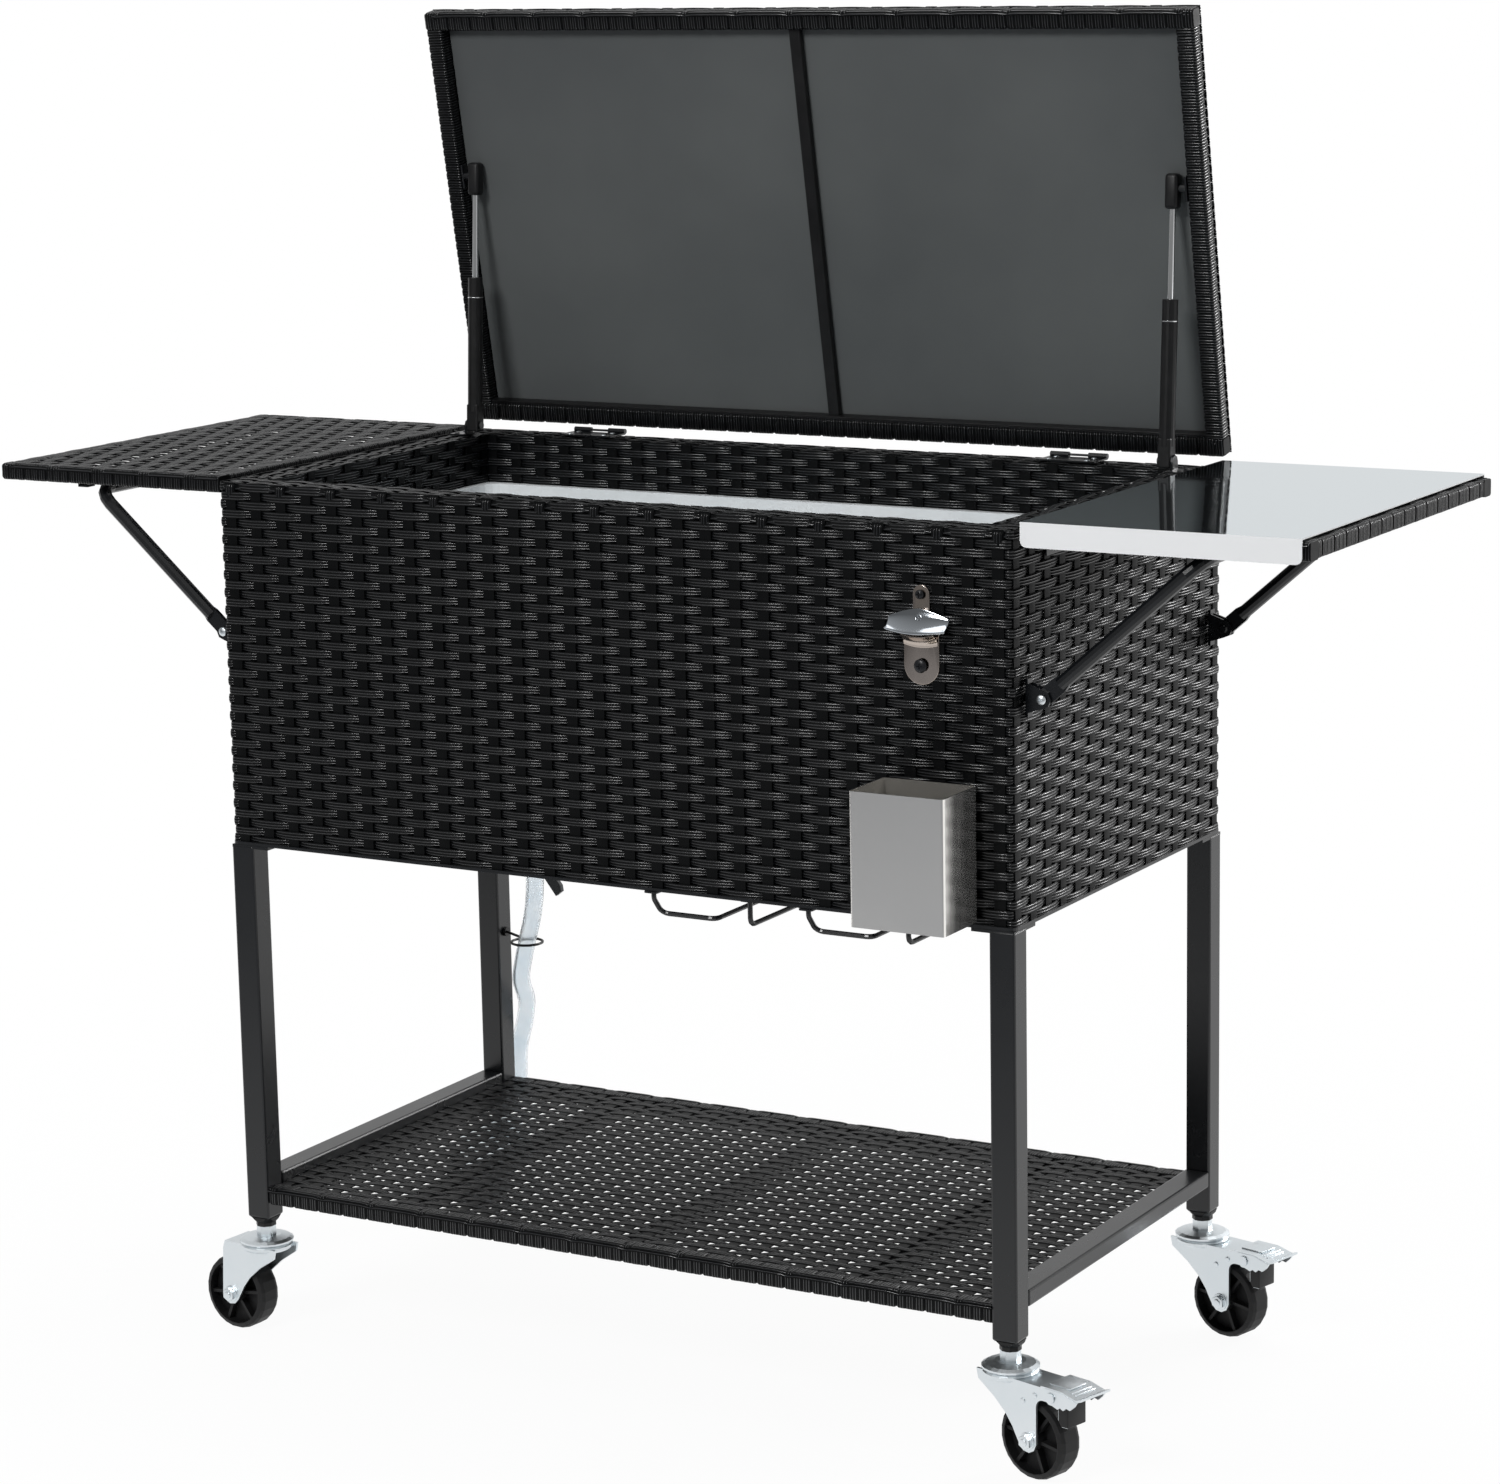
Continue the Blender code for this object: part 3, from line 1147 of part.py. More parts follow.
def build_hose():
    points = [HOSE_START, (DRAIN_X, DRAIN_Y, HOSE_FIRST_HEIGHT)]
    for from_end, from_rear, height in HOSE_ROUTE:
        points.append((from_end - HALF_W, HALF_D - from_rear, height))
    route = smooth_route(points, HOSE_STEP)
    outer = tube(route, HOSE_OUTER, 4)
    ahead = (route[-1] - route[-2]).normalized() * OVERRUN
    back = (route[0] - route[1]).normalized() * OVERRUN
    bore = tube([route[0] + back] + route[1:-1] + [route[-1] + ahead], HOSE_INNER, 4)
    piece("drain_hose", carve(outer, bore), "hose_vinyl")
    leg_face = LEG_X - LEG_TUBE / 2
    centre = (*TIE_POINT, TIE_Z)
    ring = [(centre[0] + x, centre[1] + y, centre[2])
            for x, y in arc((0, 0), TIE_RADIUS, 135, 487, ROUND_SIDES)]
    tie = tube(ring, TIE_WIRE)
    link = cylinder(TIE_WIRE, ring[0], ring[-1])
    tab_start = (-leg_face + GAP, LEG_Y, TIE_Z)
    tab = cylinder(TIE_TAB, tab_start, (tab_start[0] + 2 * TIE_WIRE, LEG_Y, TIE_Z))
    tail = cylinder(TIE_WIRE, ring[0], (tab_start[0] + TIE_WIRE, LEG_Y, TIE_Z))
    piece("hose_tie", fuse(tie, link, tab, tail), "black_plastic")


def fork_outline(braked):
    """One cheek of the fork, seen from the side: trail along +X."""
    outline = [(-RACE_RADIUS, FORK_TOP)]
    for x_share, z_share in FORK_LEAD_CURVE:
        outline.append((x_share * CASTER_TRAIL, AXLE_Z + z_share * (FORK_TOP - AXLE_Z)))
    outline += arc((CASTER_TRAIL, AXLE_Z), FORK_FOOT, FORK_FOOT_START, FORK_FOOT_END)
    rear = CASTER_TRAIL + FORK_FOOT
    if not braked:
        return outline + [(rear - FORK_SHEET, FORK_TOP - FORK_SHOULDER),
                          (rear - 2 * FORK_SHEET, FORK_TOP)]
    pivot = (PEDAL_PIVOT_X, FORK_TOP - PEDAL_PIVOT_DROP)
    arch = FORK_TOP - 2 * PEDAL_PIVOT_DROP
    outline += arc((rear + FORK_SHOULDER, arch - FORK_SHOULDER), FORK_SHOULDER, 180, 90)
    return outline + arc(pivot, PEDAL_PIVOT_DROP, -90, 90)


def build_caster(name, side, back, turn, braked):
    stand = seat("caster_" + name, (side * LEG_X, back * LEG_Y, 0), (0, 0, turn))
    reach = PEDAL_PIVOT_X if braked else CASTER_TRAIL + FORK_FOOT - 2 * FORK_SHEET
    half = FORK_INSIDE / 2 + FORK_SHEET
    meet = math.degrees(math.asin(half / (RACE_RADIUS - SEAM)))
    round_top = arc((0, 0), RACE_RADIUS - SEAM, meet, 360 - meet, ARC_STEPS * 3)
    top_outline = [(reach, half)] + round_top + [(reach, -half)]
    crown = moved(plate([top_outline], FORK_SHEET), (0, 0, FORK_TOP - FORK_SHEET / 2))
    for hand in (-1, 1):
        cheek = standing_along_y(plate([fork_outline(braked)], FORK_SHEET),
                                 hand * (half - FORK_SHEET / 2))
        crown = fuse(crown, cheek)
    race = lathe([(0, FORK_TOP + RACE_LIP), (RACE_RADIUS - RACE_LIP, FORK_TOP + RACE_LIP),
                  (RACE_RADIUS, FORK_TOP), (RACE_RADIUS, FORK_TOP - FORK_SHEET),
                  (RACE_RADIUS - RACE_LIP, FORK_TOP - FORK_SHEET - RACE_LIP),
                  (0, FORK_TOP - FORK_SHEET - RACE_LIP)])
    bolt = cylinder(AXLE, (CASTER_TRAIL, -half - SEAM, AXLE_Z), (CASTER_TRAIL, half + SEAM, AXLE_Z))
    fork = fuse(crown, race, bolt)
    for hand in (-1, 1):
        face = hand * (half - SEAM)
        head = cylinder(AXLE_HEAD, (CASTER_TRAIL, face, AXLE_Z),
                        (CASTER_TRAIL, face + hand * AXLE_HEAD_THICK, AXLE_Z), HEX_SIDES)
        fork = fuse(fork, head)
        if braked:
            rivet_z = FORK_TOP - PEDAL_PIVOT_DROP
            rivet = cylinder(PEDAL_RIVET, (PEDAL_PIVOT_X, hand * (half - FORK_SHEET - SEAM), rivet_z),
                             (PEDAL_PIVOT_X, hand * (half + PEDAL_SHEET + RACE_LIP / 2), rivet_z))
            rivet_head = cylinder(PEDAL_RIVET + RACE_LIP,
                                  (PEDAL_PIVOT_X, hand * (half + PEDAL_SHEET + 2 * GAP), rivet_z),
                                  (PEDAL_PIVOT_X, hand * (half + PEDAL_SHEET + RACE_LIP), rivet_z))
            fork = fuse(fork, fuse(rivet, rivet_head))
    piece("caster_fork_" + name, fork, "zinc", parent=stand)
    build_wheel(name, stand)
    if braked:
        build_pedal(name, stand)
    build_stem(name, side * LEG_X, back * LEG_Y)


def build_wheel(name, stand):
    half, rim = WHEEL_WIDTH / 2, WHEEL_RADIUS - WHEEL_RIM
    web, hub, out = WHEEL_WEB / 2, WHEEL_HUB, WHEEL_HUB_WIDTH / 2
    bore = AXLE + GAP
    corner = WHEEL_CORNER
    tread = arc((WHEEL_RADIUS - corner, half - corner), corner, 90, 0, EDGE_STEPS)
    lower = [(radius, -height) for radius, height in reversed(tread)]
    profile = [(bore, out), (hub, out), (hub, web), (rim, web), (rim, half)]
    profile += tread + lower
    profile += [(rim, -half), (rim, -web), (hub, -web), (hub, -out), (bore, -out), (bore, out)]
    wheel = lathe(profile, WHEEL_FACES)
    for rib in range(WHEEL_RIBS):
        angle = 2 * math.pi * rib / WHEEL_RIBS
        spoke = span((hub - SEAM, -WHEEL_RIB / 2, -half + WHEEL_RIB),
                     (rim + SEAM, WHEEL_RIB / 2, half - WHEEL_RIB))
        wheel = fuse(wheel, turned_by(spoke, angle, "Z"))
    turned_by(wheel, math.pi / 2, "X")
    turned_by(wheel, math.pi / WHEEL_FACES, "Y")
    origin = (CASTER_TRAIL, 0, AXLE_Z)
    piece("caster_wheel_" + name, moved(wheel, origin), "wheel_black", origin=origin, parent=stand)


def build_pedal(name, stand):
    """The brake lever: a stamped plate on a rivet, with a shoe over the tread."""
    pivot = Vector((PEDAL_PIVOT_X, 0, FORK_TOP - PEDAL_PIVOT_DROP))
    half = FORK_INSIDE / 2 + FORK_SHEET + GAP
    low = FORK_TOP + GAP
    step = PEDAL_PIVOT_X - PEDAL_BACK
    end = low - PEDAL_TIP_DROP
    profile = [(step, low), (pivot.x + PEDAL_BACK, low), (PEDAL_TIP - PEDAL_CURL, end),
               (PEDAL_TIP, end + PEDAL_SHEET)]
    upper = [(x, z + PEDAL_SHEET) for x, z in reversed(profile)]
    lever = standing_along_y(plate([profile + upper], 2 * (half + PEDAL_SHEET - SEAM)), 0)
    side_top = low + PEDAL_SHEET / 2
    for hand in (-1, 1):
        outline = arc((pivot.x, pivot.z), PEDAL_SIDE, 150, 285)
        for x_share, z_share in PEDAL_SCALLOPS:
            outline.append((pivot.x + x_share * PEDAL_SIDE_REACH, pivot.z - z_share * PEDAL_SIDE))
        outline += [(pivot.x + PEDAL_BACK, side_top), (pivot.x - PEDAL_SIDE, side_top)]
        hole = [(pivot.x + x, pivot.z + z)
                for x, z in arc((0, 0), PEDAL_RIVET + GAP, 0, 360, SMALL_SIDES)[:-1]]
        cheek = standing_along_y(plate([outline, hole], PEDAL_SHEET),
                                 hand * (half + PEDAL_SHEET / 2))
        lever = fuse(lever, cheek)
    shoe_start = PEDAL_PIVOT_X + OVERRUN
    shoe = span((shoe_start, -PEDAL_SHOE_WIDTH / 2, PEDAL_SHOE_LOW),
                (shoe_start + PEDAL_SHOE_REACH, PEDAL_SHOE_WIDTH / 2, low - SEAM))
    stalk = span((shoe_start + OVERRUN, -PEDAL_SHEET, low - OVERRUN),
                 (shoe_start + PEDAL_SHOE_REACH / 2, PEDAL_SHEET, low + PEDAL_SHEET / 2))
    swept = cylinder(WHEEL_RADIUS + PEDAL_SHOE_CLEAR, (CASTER_TRAIL, -half, AXLE_Z),
                     (CASTER_TRAIL, half, AXLE_Z), WHEEL_FACES)
    lever = fuse(lever, fuse(carve(shoe, swept), stalk))
    piece("brake_pedal_" + name, lever, "zinc", origin=pivot, parent=stand)


def build_stem(name, x, y):
    """The threaded stem with its race plate, and the plug that holds it."""
    base = FORK_TOP + RACE_LIP + GAP
    top = base + RACE_THICK
    plug_low = top + STEM_HEX_HEIGHT
    stem = lathe([(0, top), (RACE_RADIUS * 0.55, top), (RACE_RADIUS * 0.9, top - RACE_LIP),
                  (RACE_RADIUS + RACE_LIP / 2, top - 2 * RACE_LIP),
                  (RACE_RADIUS + RACE_LIP / 2, base + RACE_LIP / 2),
                  (RACE_RADIUS - RACE_LIP / 2, base), (0, base)])
    hexagon = cylinder(STEM_HEX, (0, 0, top - SEAM), (0, 0, plug_low - GAP), HEX_SIDES)
    bolt = cylinder(STEM_BOLT, (0, 0, top), (0, 0, plug_low + STEM_BOLT_RISE))
    stem = fuse(stem, hexagon, bolt)
    piece("caster_stem_" + name, moved(stem, (x, y, 0)), "zinc")
    inside = LEG_TUBE / 2 - LEG_WALL - GAP
    plug = lathe([(0, LEG_BOTTOM - GAP), (LEG_TUBE * 0.62, LEG_BOTTOM - GAP),
                  (PLUG_NECK, LEG_BOTTOM - PLUG_TAPER * 0.6), (PLUG_NECK, plug_low),
                  (0, plug_low)], 8)
    turned_by(plug, math.pi / 8, "Z")
    trim = block((LEG_TUBE - LEG_WALL, LEG_TUBE - LEG_WALL, LEG_TUBE), (0, 0, LEG_BOTTOM - PLUG_TAPER))
    plug = combine(plug, [trim], "INTERSECT")
    insert = block((2 * inside, 2 * inside, PLUG_INSERT + SEAM),
                   (0, 0, LEG_BOTTOM - GAP + PLUG_INSERT / 2))
    bore = cylinder(STEM_BOLT + GAP, (0, 0, plug_low - OVERRUN), (0, 0, LEG_BOTTOM + PLUG_INSERT * 2))
    plug = carve(fuse(plug, insert), bore)
    piece("leg_plug_" + name, moved(plug, (x, y, 0)), "black_plastic")


def build_all():
    build_box()
    build_bottom_panel()
    build_tub()
    build_legs()
    build_rails()
    build_shelf()
    build_lid()
    build_lid_hinges()
    build_struts()
    build_trays()
    build_tray_hinges()
    build_braces()
    build_brace_brackets()
    build_opener()
    build_catcher()
    build_racks()
    build_drain()
    build_hose()
    for name, (side, back, turn, braked) in CASTER_TURNS.items():
        build_caster(name, side, back, turn, braked)


build_all()
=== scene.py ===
"""Looks of the rolling patio cooler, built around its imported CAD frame.

Everything is in metres in the frame's own axes, +Z up. The cart stands open,
with its front to -Y. BACK_SHIFT is how far the box's middle lies behind the
origin, so a place in box terms becomes a frame place when it is added to Y.
"""

import math
from contextlib import contextmanager
from fnmatch import fnmatch

import bpy
from mathutils import Matrix, Vector


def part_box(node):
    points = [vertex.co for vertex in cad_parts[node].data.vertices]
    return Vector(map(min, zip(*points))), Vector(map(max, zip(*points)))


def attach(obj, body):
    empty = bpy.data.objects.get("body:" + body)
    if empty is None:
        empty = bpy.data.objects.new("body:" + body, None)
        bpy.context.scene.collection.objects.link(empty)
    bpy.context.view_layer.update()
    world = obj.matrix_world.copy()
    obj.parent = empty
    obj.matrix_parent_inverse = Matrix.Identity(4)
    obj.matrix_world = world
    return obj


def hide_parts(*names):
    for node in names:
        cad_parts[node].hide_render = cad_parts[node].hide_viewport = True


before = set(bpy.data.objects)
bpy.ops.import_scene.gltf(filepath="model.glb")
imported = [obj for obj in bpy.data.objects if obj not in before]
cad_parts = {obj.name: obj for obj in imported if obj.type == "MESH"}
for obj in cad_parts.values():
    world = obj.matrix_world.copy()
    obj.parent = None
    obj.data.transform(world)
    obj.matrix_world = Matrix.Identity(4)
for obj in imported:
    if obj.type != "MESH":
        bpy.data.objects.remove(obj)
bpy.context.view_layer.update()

bl_info = {
    "name": "Rolling Patio Cooler Looks",
    "version": (1, 0, 0),
    "blender": (4, 5, 0),
    "location": "View3D > Sidebar > Cooler",
    "description": "Dresses the patio cooler frame in woven rattan, steel and paint",
    "category": "Add Mesh",
}

MM = 0.001
TAU = 2 * math.pi
ALONG = (1, 0, 0)
BACK = (0, 1, 0)
UP = (0, 0, 1)
SLANT = 0.7071
SIDES = (("left", -1), ("right", 1))
ENDS = (("front", -1), ("rear", 1))


def middle_of(*nodes):
    """Middle of the box round these CAD nodes."""
    lows = [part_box(node)[0] for node in nodes]
    highs = [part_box(node)[1] for node in nodes]
    low = Vector([min(corner[i] for corner in lows) for i in range(3)])
    high = Vector([max(corner[i] for corner in highs) for i in range(3)])
    return (low + high) / 2


LEGS = ("leg_front_left", "leg_front_right", "leg_rear_left", "leg_rear_right")
BACK_SHIFT = middle_of(*LEGS).y
SHELL_LOW, SHELL_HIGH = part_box("box_shell")
BOX_HALF_W = SHELL_HIGH.x
BOX_HALF_D = (SHELL_HIGH.y - SHELL_LOW.y) / 2
BOX_TOP = SHELL_HIGH.z
BOX_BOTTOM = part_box("bottom_panel")[0].z
RIM = 40 * MM
RIM_DROP = 50 * MM
LID_OPEN = math.radians(79.6)
HINGE_BACK = 3 * MM
HINGE_RISE = 3.5 * MM
HINGE = Vector((0, BOX_HALF_D + HINGE_BACK + BACK_SHIFT, BOX_TOP + HINGE_RISE))

# Camera of the photograph, in box terms
VIEW_FROM = (1.9868, -3.4190, 1.3718)
VIEW_YAW = 0.5223
VIEW_PITCH = 0.1986
VIEW_ROLL = -0.0191
VIEW_LENS = 100.93
VIEW_SHIFT = (0.0067, 0.0090)

# Spacing of the stakes, and how a weaver dips under one, as shares of that spacing
FRONT_PITCH = 28.95 * MM
SIDE_PITCH = 30.5 * MM
DIP_WIDTH = 0.40
SAG = 0.3

# A wound bar: its section, the strand's width and how many wraps make a pillow
SQUARENESS = 2 / 6
BAR_SIDES = 24
WRAP = 9 * MM
PILLOW = 3

# Depth of the gaps between wraps: all alike, or deeper between two pillows
GAP_DEPTH = 0.8 * MM
JOINT_DEPTH = 1.5 * MM
SEAM_DEPTH = 0.25 * MM
UNEVEN_DEPTH = 0.16 * MM
GAP_POWER = 5

# A strand lashed along an edge: how deep and how far beside a stake it dips
LASH_DIP = 1.6 * MM
LASH_REACH = 0.42
LASH_WIDTH = 8 * MM
LASH_CROWN = 1.6

# Spacing of the stations along a strand
STEP = 9.6 * MM
CORNER_STEP = 2.2 * MM
LEAST_STEP = 1.2 * MM
LASH_STEP = 3 * MM
STAKE_STEP = 60 * MM
DIP_REACH = 29 * MM
DIP_SHARES = (-0.26, -0.13, 0, 0.13, 0.26)

# Path of a stake over the outer edge of the rim
EDGE_RADIUS = 4 * MM
EDGE_STEP = 1.6 * MM
EDGE_STATIONS = tuple(step * EDGE_STEP for step in range(-6, 11))


# Properties

class CoolerWeave(bpy.types.PropertyGroup):
    """Sizes of the woven strands."""
    rows: bpy.props.IntProperty(
        name="Rows", description="Weaver rows up the box walls", default=41, min=10)
    front_stakes: bpy.props.IntProperty(
        name="Front stakes", description="Stakes along the front wall", default=29, min=5)
    side_stakes: bpy.props.IntProperty(
        name="Side stakes", description="Stakes along a side wall", default=15, min=3)
    strand: bpy.props.FloatProperty(
        name="Strand", description="Width of one flat strand", default=8.2 * MM, unit="LENGTH")
    stake: bpy.props.FloatProperty(
        name="Stake", description="Width of one stake", default=11.5 * MM, unit="LENGTH")
    thick: bpy.props.FloatProperty(
        name="Thickness", description="Thickness of one strand", default=1.1 * MM, unit="LENGTH")
    swing: bpy.props.FloatProperty(
        name="Swing", description="How far a weaver bows over a stake", default=1.9 * MM,
        unit="LENGTH")
    rib: bpy.props.FloatProperty(
        name="Rib", description="Spacing of the ribs moulded along a strand", default=2.7 * MM,
        unit="LENGTH")


class CoolerFinish(bpy.types.PropertyGroup):
    """Colours, as hex text in sRGB."""
    rattan: bpy.props.StringProperty(
        name="Rattan", description="Black of the moulded strands", default="#16181c")
    paint: bpy.props.StringProperty(
        name="Paint", description="Powder coat of the legs and braces", default="#0f1114")
    liner: bpy.props.StringProperty(
        name="Liner", description="Grey board inside the lid", default="#555859")
    tub: bpy.props.StringProperty(
        name="Tub", description="White plastic of the ice tub", default="#e4e8ea")
    steel: bpy.props.StringProperty(
        name="Steel", description="Polished stainless steel", default="#f2f4f5")
    zinc: bpy.props.StringProperty(
        name="Zinc", description="Zinc plate of the casters", default="#b9c2c8")


class CoolerStage(bpy.types.PropertyGroup):
    """Floor and studio light."""
    floor: bpy.props.StringProperty(
        name="Floor", description="Colour of the floor", default="#eef0f1")
    key: bpy.props.FloatProperty(
        name="Key light", description="Power of the light in front", default=95,
        unit="POWER")
    rim: bpy.props.FloatProperty(
        name="Rim light", description="Power of the light behind at the right", default=90,
        unit="POWER")
    top: bpy.props.FloatProperty(
        name="Top light", description="Power of the light overhead", default=45, unit="POWER")
    sky: bpy.props.FloatProperty(
        name="Room light", description="Strength of the even light all round", default=0.60)
    front: bpy.props.FloatProperty(
        name="Front light", description="How bright the room is in front, as a share",
        default=0.26)


def settings():
    return bpy.context.scene.cooler_weave, bpy.context.scene.cooler_finish


# Materials

def linear(text):
    """An sRGB hex colour as the linear values that shaders take."""
    values = [int(text[i:i + 2], 16) / 255 for i in (1, 3, 5)]
    return tuple(v / 12.92 if v <= 0.04045 else ((v + 0.055) / 1.055) ** 2.4
                 for v in values) + (1,)


def add(tree, kind, links=(), **values):
    """Add a node, set its fields and inputs, and link sources into it."""
    node = tree.nodes.new("ShaderNode" + kind)
    for key, value in values.items():
        if key.startswith("in_"):
            name = key[3:].replace("_", " ")
            node.inputs[int(name) if name.isdigit() else name].default_value = value
        else:
            setattr(node, key, value)
    for source, target in links:
        tree.links.new(source, node.inputs[target])
    return node


def new_material(name, colour, roughness, metallic=0.0, **shader_values):
    """A Principled material and its tree and shader."""
    material = bpy.data.materials.new(name)
    material.use_nodes = True
    tree = material.node_tree
    shader = tree.nodes["Principled BSDF"]
    shader.inputs["Base Color"].default_value = linear(colour)
    shader.inputs["Roughness"].default_value = roughness
    shader.inputs["Metallic"].default_value = metallic
    for key, value in shader_values.items():
        shader.inputs[key.replace("_", " ")].default_value = value
    material.diffuse_color = linear(colour)
    return material, tree, shader


def mottle(tree, shader, scale, dark, light, rough_low, rough_high):
    """Blend two colours and two roughness values by soft noise on the object."""
    place = add(tree, "TexCoord")
    noise = add(tree, "TexNoise", [(place.outputs["Object"], "Vector")],
                in_Scale=scale, in_Detail=4.0, in_Roughness=0.6)
    ramp = add(tree, "ValToRGB", [(noise.outputs["Fac"], "Fac")])
    ramp.color_ramp.elements[0].position = 0.35
    ramp.color_ramp.elements[1].position = 0.68
    ramp.color_ramp.elements[0].color = linear(dark)
    ramp.color_ramp.elements[1].color = linear(light)
    tree.links.new(ramp.outputs["Color"], shader.inputs["Base Color"])
    rough = add(tree, "MapRange", [(noise.outputs["Fac"], "Value")],
                in_1=0.3, in_2=0.7, in_3=rough_low, in_4=rough_high)
    tree.links.new(rough.outputs["Result"], shader.inputs["Roughness"])
    return place


def grain(tree, shader, place, scale, detail, depth):
    """Roughen the surface with fine noise on the object."""
    fine = add(tree, "TexNoise", [(place.outputs["Object"], "Vector")],
               in_Scale=scale, in_Detail=detail)
    rise = add(tree, "Bump", [(fine.outputs["Fac"], "Height")], in_Strength=1.0,
               in_Distance=depth)
    tree.links.new(rise.outputs["Normal"], shader.inputs["Normal"])


def rattan_material():
    """Moulded polyethylene rattan: black strands with polished ribs along them.

    The ribs follow the strand's own UV map, whose V runs across it in metres.
    They are drawn a little wider apart than the real 1.7 mm, so that they show.
    The grooves between them are painted near-black as a painted shade, and are dull; the ribs keep
    the strand's black and carry a gloss coat.
    """
    weave, finish = settings()
    material, tree, shader = new_material("moulded_rattan", finish.rattan, 0.5,
                                          Specular_IOR_Level=0.12, Coat_Roughness=0.19,
                                          Coat_IOR=1.7)
    uv = add(tree, "UVMap", uv_map="UVMap")
    parts = add(tree, "SeparateXYZ", [(uv.outputs["UV"], "Vector")])
    turn = add(tree, "Math", [(parts.outputs["Y"], 0)], operation="MULTIPLY",
               in_1=TAU / weave.rib)
    rib = add(tree, "Math", [(turn.outputs[0], 0)], operation="COSINE")
    place = add(tree, "TexCoord")
    noise = add(tree, "TexNoise", [(place.outputs["Object"], "Vector")],
                in_Scale=60.0, in_Detail=3.0)
    # Mask of the painted groove shade: 0 in the grooves, 1 on the ribs' crests
    groove_shade_mask = add(tree, "MapRange", [(rib.outputs[0], "Value")],
                in_1=0.4, in_2=0.95, in_3=0.0, in_4=1.0)
    tint = add(tree, "MapRange", [(noise.outputs["Fac"], "Value")],
               in_1=0.3, in_2=0.7, in_3=0.7, in_4=1.0)
    both = add(tree, "Math", [(groove_shade_mask.outputs["Result"], 0),
                                        (tint.outputs["Result"], 1)], operation="MULTIPLY")
    # Grooves get the near-black #040506, a painted shade, and crests the strand's own black; the
    # same mask sets the coat
    mix = add(tree, "Mix", [(both.outputs[0], 0)], data_type="RGBA",
              in_6=linear("#040506"), in_7=linear(finish.rattan))
    tree.links.new(mix.outputs[2], shader.inputs["Base Color"])
    tree.links.new(both.outputs[0], shader.inputs["Coat Weight"])
    rough = add(tree, "MapRange", [(noise.outputs["Fac"], "Value")],
                in_1=0.3, in_2=0.7, in_3=0.42, in_4=0.55)
    tree.links.new(rough.outputs["Result"], shader.inputs["Roughness"])
    ridge = add(tree, "Bump", [(rib.outputs[0], "Height")], in_Strength=1.0,
                in_Distance=0.36 * MM)
    for target in ("Normal", "Coat Normal"):
        tree.links.new(ridge.outputs["Normal"], shader.inputs[target])
    return material


def paint_material():
    """Powder coat on steel tube: satin blue-black with a faint orange peel."""
    _, finish = settings()
    material, tree, shader = new_material("satin_powder_coat", finish.paint, 0.28)
    place = mottle(tree, shader, 14.0, "#0d0f12", "#101215", 0.26, 0.31)
    grain(tree, shader, place, 700.0, 1.0, 0.02 * MM)
    return material


def liner_material():
    """Grey PVC foam board: matt, with soft clouds of a paler grey."""
    _, finish = settings()
    material, tree, shader = new_material("grey_foam_board", finish.liner, 0.55)
    place = mottle(tree, shader, 3.0, "#4e5152", "#5a5d5d", 0.48, 0.60)
    grain(tree, shader, place, 900.0, 2.0, 0.015 * MM)
    return material


def tub_material():
    """White polypropylene, blow moulded, slightly waxy."""
    _, finish = settings()
    material, tree, shader = new_material("white_polypropylene", finish.tub, 0.38,
                                          Subsurface_Weight=0.08,
                                          Subsurface_Radius=(4 * MM, 4 * MM, 4 * MM))
    mottle(tree, shader, 6.0, "#dfe4e6", "#e9ecee", 0.34, 0.46)
    return material


def steel_material(name, colour, rough_low, rough_high, metallic=1.0):
    """Stainless steel, polished or satin, with faint wiping marks across it."""
    material, tree, shader = new_material(name, colour, rough_low, metallic)
    place = add(tree, "TexCoord")
    stretch = add(tree, "Mapping", [(place.outputs["Object"], "Vector")],
                  in_Scale=(12.0, 90.0, 12.0))
    noise = add(tree, "TexNoise", [(stretch.outputs["Vector"], "Vector")],
                in_Scale=1.0, in_Detail=5.0)
    rough = add(tree, "MapRange", [(noise.outputs["Fac"], "Value")],
                in_1=0.3, in_2=0.7, in_3=rough_low, in_4=rough_high)
    tree.links.new(rough.outputs["Result"], shader.inputs["Roughness"])
    return material


def zinc_material():
    """Bright zinc plate: bluish steel with cloudy patches."""
    _, finish = settings()
    material, tree, shader = new_material("bright_zinc_plate", finish.zinc, 0.25, 1.0)
    mottle(tree, shader, 12.0, "#dae1e5", "#e4e9ec", 0.34, 0.42)
    return material


def plastic_material(name, dark, light, rough_low, rough_high):
    """Moulded nylon, ABS or rubber, and black steel: dark, with a fine grain."""
    material, tree, shader = new_material(name, dark, rough_low, Specular_IOR_Level=0.32)
    place = mottle(tree, shader, 40.0, dark, light, rough_low, rough_high)
    grain(tree, shader, place, 900.0, 2.0, 0.02 * MM)
    return material


def pan_material():
    """Polished steel sheet whose folded skirts are a non-metallic white, a painted reflection of
    the white floor in front.
    """
    material, tree, shader = new_material("polished_pan_sheet", "#e6edf0", 0.05, 1.0)
    place = add(tree, "TexCoord")
    parts = add(tree, "SeparateXYZ", [(place.outputs["Normal"], "Vector")])
    top = add(tree, "MapRange", [(parts.outputs["Z"], "Value")],
              in_1=0.45, in_2=0.75)
    noise = add(tree, "TexNoise", [(place.outputs["Object"], "Vector")],
                in_Scale=5.0, in_Detail=3.0)
    wave = add(tree, "MapRange", [(noise.outputs["Fac"], "Value")],
               in_1=0.3, in_2=0.7, in_3=0.03, in_4=0.08)
    rough = add(tree, "Mix", [(top.outputs["Result"], 0),
                                        (wave.outputs["Result"], 3)], in_2=0.5)
    tree.links.new(rough.outputs[0], shader.inputs["Roughness"])
    tree.links.new(top.outputs["Result"], shader.inputs["Metallic"])
    # The skirts' white is a painted reflection of the white floor in front; the top stays polished
    # metal
    colour = add(tree, "Mix", [(top.outputs["Result"], 0)], data_type="RGBA",
                 in_6=linear("#fafbfc"), in_7=linear("#d9e4e9"))
    tree.links.new(colour.outputs[2], shader.inputs["Base Color"])
    return material


